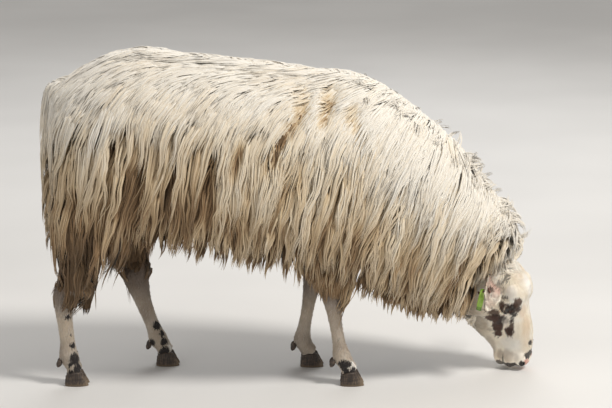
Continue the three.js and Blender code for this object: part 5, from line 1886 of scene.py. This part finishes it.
def claw(side, seed):
    """One claw, in millimetres about the middle of its sole: ringed walls, rounded edges and a worn toe."""
    segments, rings = 56, 26
    a = np.arange(segments) / segments * 2 * math.pi
    c, l = np.cos(a), np.sin(a)
    local = np.random.default_rng(seed)
    pts = []
    for k in range(rings + 1):
        s = k / rings
        if s < 0.12:
            level, size, top = 0.0, math.sin(s / 0.12 * math.pi / 2), 2.4 * math.cos(s / 0.12 * math.pi / 2)
        elif s < 0.88:
            level, size, top = (s - 0.12) / 0.76, 1.0, 0.0
        else:
            level, size, top = 1.0, 1 - (s - 0.88) / 0.12, 0.0
        z = 31 * (1 - level) + top
        long = (56 * 0.66 + (56 - 56 * 0.66) * level) / 2
        mid = -7 + 7 * level
        tip = 1 - 0.42 * np.maximum(0, c) ** 2
        wide = 10.5 * (0.86 + 0.14 * level) * tip
        flat = np.where(l * side < 0, 1.0, 1.14)
        rise = np.where(c < 0, (1 - level) * c * 8, 0)
        ring = 0.28 * math.sin(level * 19 + 0.4) * (0.12 < s < 0.86)  # growth rings
        edge = -1.1 * max(0, (level - 0.90) / 0.10) ** 2 if s < 0.88 else -1.1
        chip = 0.30 * noise(np.stack([c * 2 + seed, l * 2, 0 * c + level * 2], 1), 0.5, 1) * (0.3 + 0.7 * level) * (s < 0.88)
        off = (ring + edge + chip - 0.45) * (0 < s < 1)
        x = mid + size * (long + off) * power(c, 2.3)
        y = size * (wide * flat + off) * power(l, 2.4) - side * 1.2 * np.maximum(0, c) * size
        zz = np.maximum(0.0, z + rise * size)
        sole = 1.0 * max(0, s - 0.88) / 0.12
        zz = zz + sole
        pts.append(np.stack([x, y, zz], -1))
    v, f = closed(np.array(pts))
    return v, f, smooth(v[:, 0], 8, 26)


for leg, (fx, fy) in FEET.items():
    for side in (-1, 1):
        which = "outer" if (side < 0) == leg.endswith("right") else "inner"
        v, f, toe = claw(side, 3 + 2 * len(leg) + side + int(fx) % 7)
        v = place(v + [fx, fy + side * 13, 0])
        hoof = mesh_object(f"claw_{leg}_{which}", v, f)
        attribute(hoof, "toe", toe)
        hoof.data.materials.append(horn)
        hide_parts(f"hoof_{leg}_{which}")
        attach(hoof, "root")
        v, f = globe(32, 24)
        x, y, z = FETLOCK[leg]
        taper = 1 - 0.22 * np.clip(-v[:, 2], 0, 1) ** 2
        bumps = 1 + 0.03 * np.sin(v[:, 2] * 14)
        v = v * np.stack([6.2 * taper * bumps, 5.7 * taper * bumps, 9.7 + 0 * taper], 1)
        v = v @ rot("y", 24).T + [x - 21, y + side * 11, z - 15]
        dew = mesh_object(f"dew_{leg}_{which}", place(v), f)
        dew.data.materials.append(horn)
        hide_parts(f"dewclaw_{leg}_{which}")
        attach(dew, "root")

# ---- ear tag: carried-over nodes with softened edges ---------------------------------------------------------------
tag_looks = {
    "ear_tag_plate": tag_material("tag_plastic", (140, 190, 66), (184, 216, 112), (112, 128, 62)),
    # the tag's back half is the plate's plastic painted darker as shade
    "ear_tag_back": tag_material("tag_plastic_painted_shade", (84, 124, 38), (128, 166, 72), (84, 96, 46)),
    "ear_tag_pin": tag_material("tag_stud", (74, 46, 40), (112, 72, 60), (52, 38, 30)),
}
for name, look in tag_looks.items():
    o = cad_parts[name]
    o.data.materials.clear()
    o.data.materials.append(look)
    for poly in o.data.polygons:
        poly.material_index = 0
    b = o.modifiers.new("soft_edges", "BEVEL")
    b.width = 0.0005
    b.segments = 3
    b.limit_method = "ANGLE"
    b.angle_limit = math.radians(40)
    b.harden_normals = True
floor.data.materials.append(floor_material())

# ---- the coat's pieces --------------------------------------------------------------------------------------------
wool = wool_material()
short = tuft_material()
for name, data in groups:
    tris = len(data["tone"]) * data["tris"]
    by_x = np.argsort(data["where"])
    for i, sel in enumerate(np.array_split(by_x, int(np.ceil(tris / 190000)))):
        hair = name.startswith("hair")
        coat_piece(f"{name}_{i + 1}", sel, data, short if hair else wool)
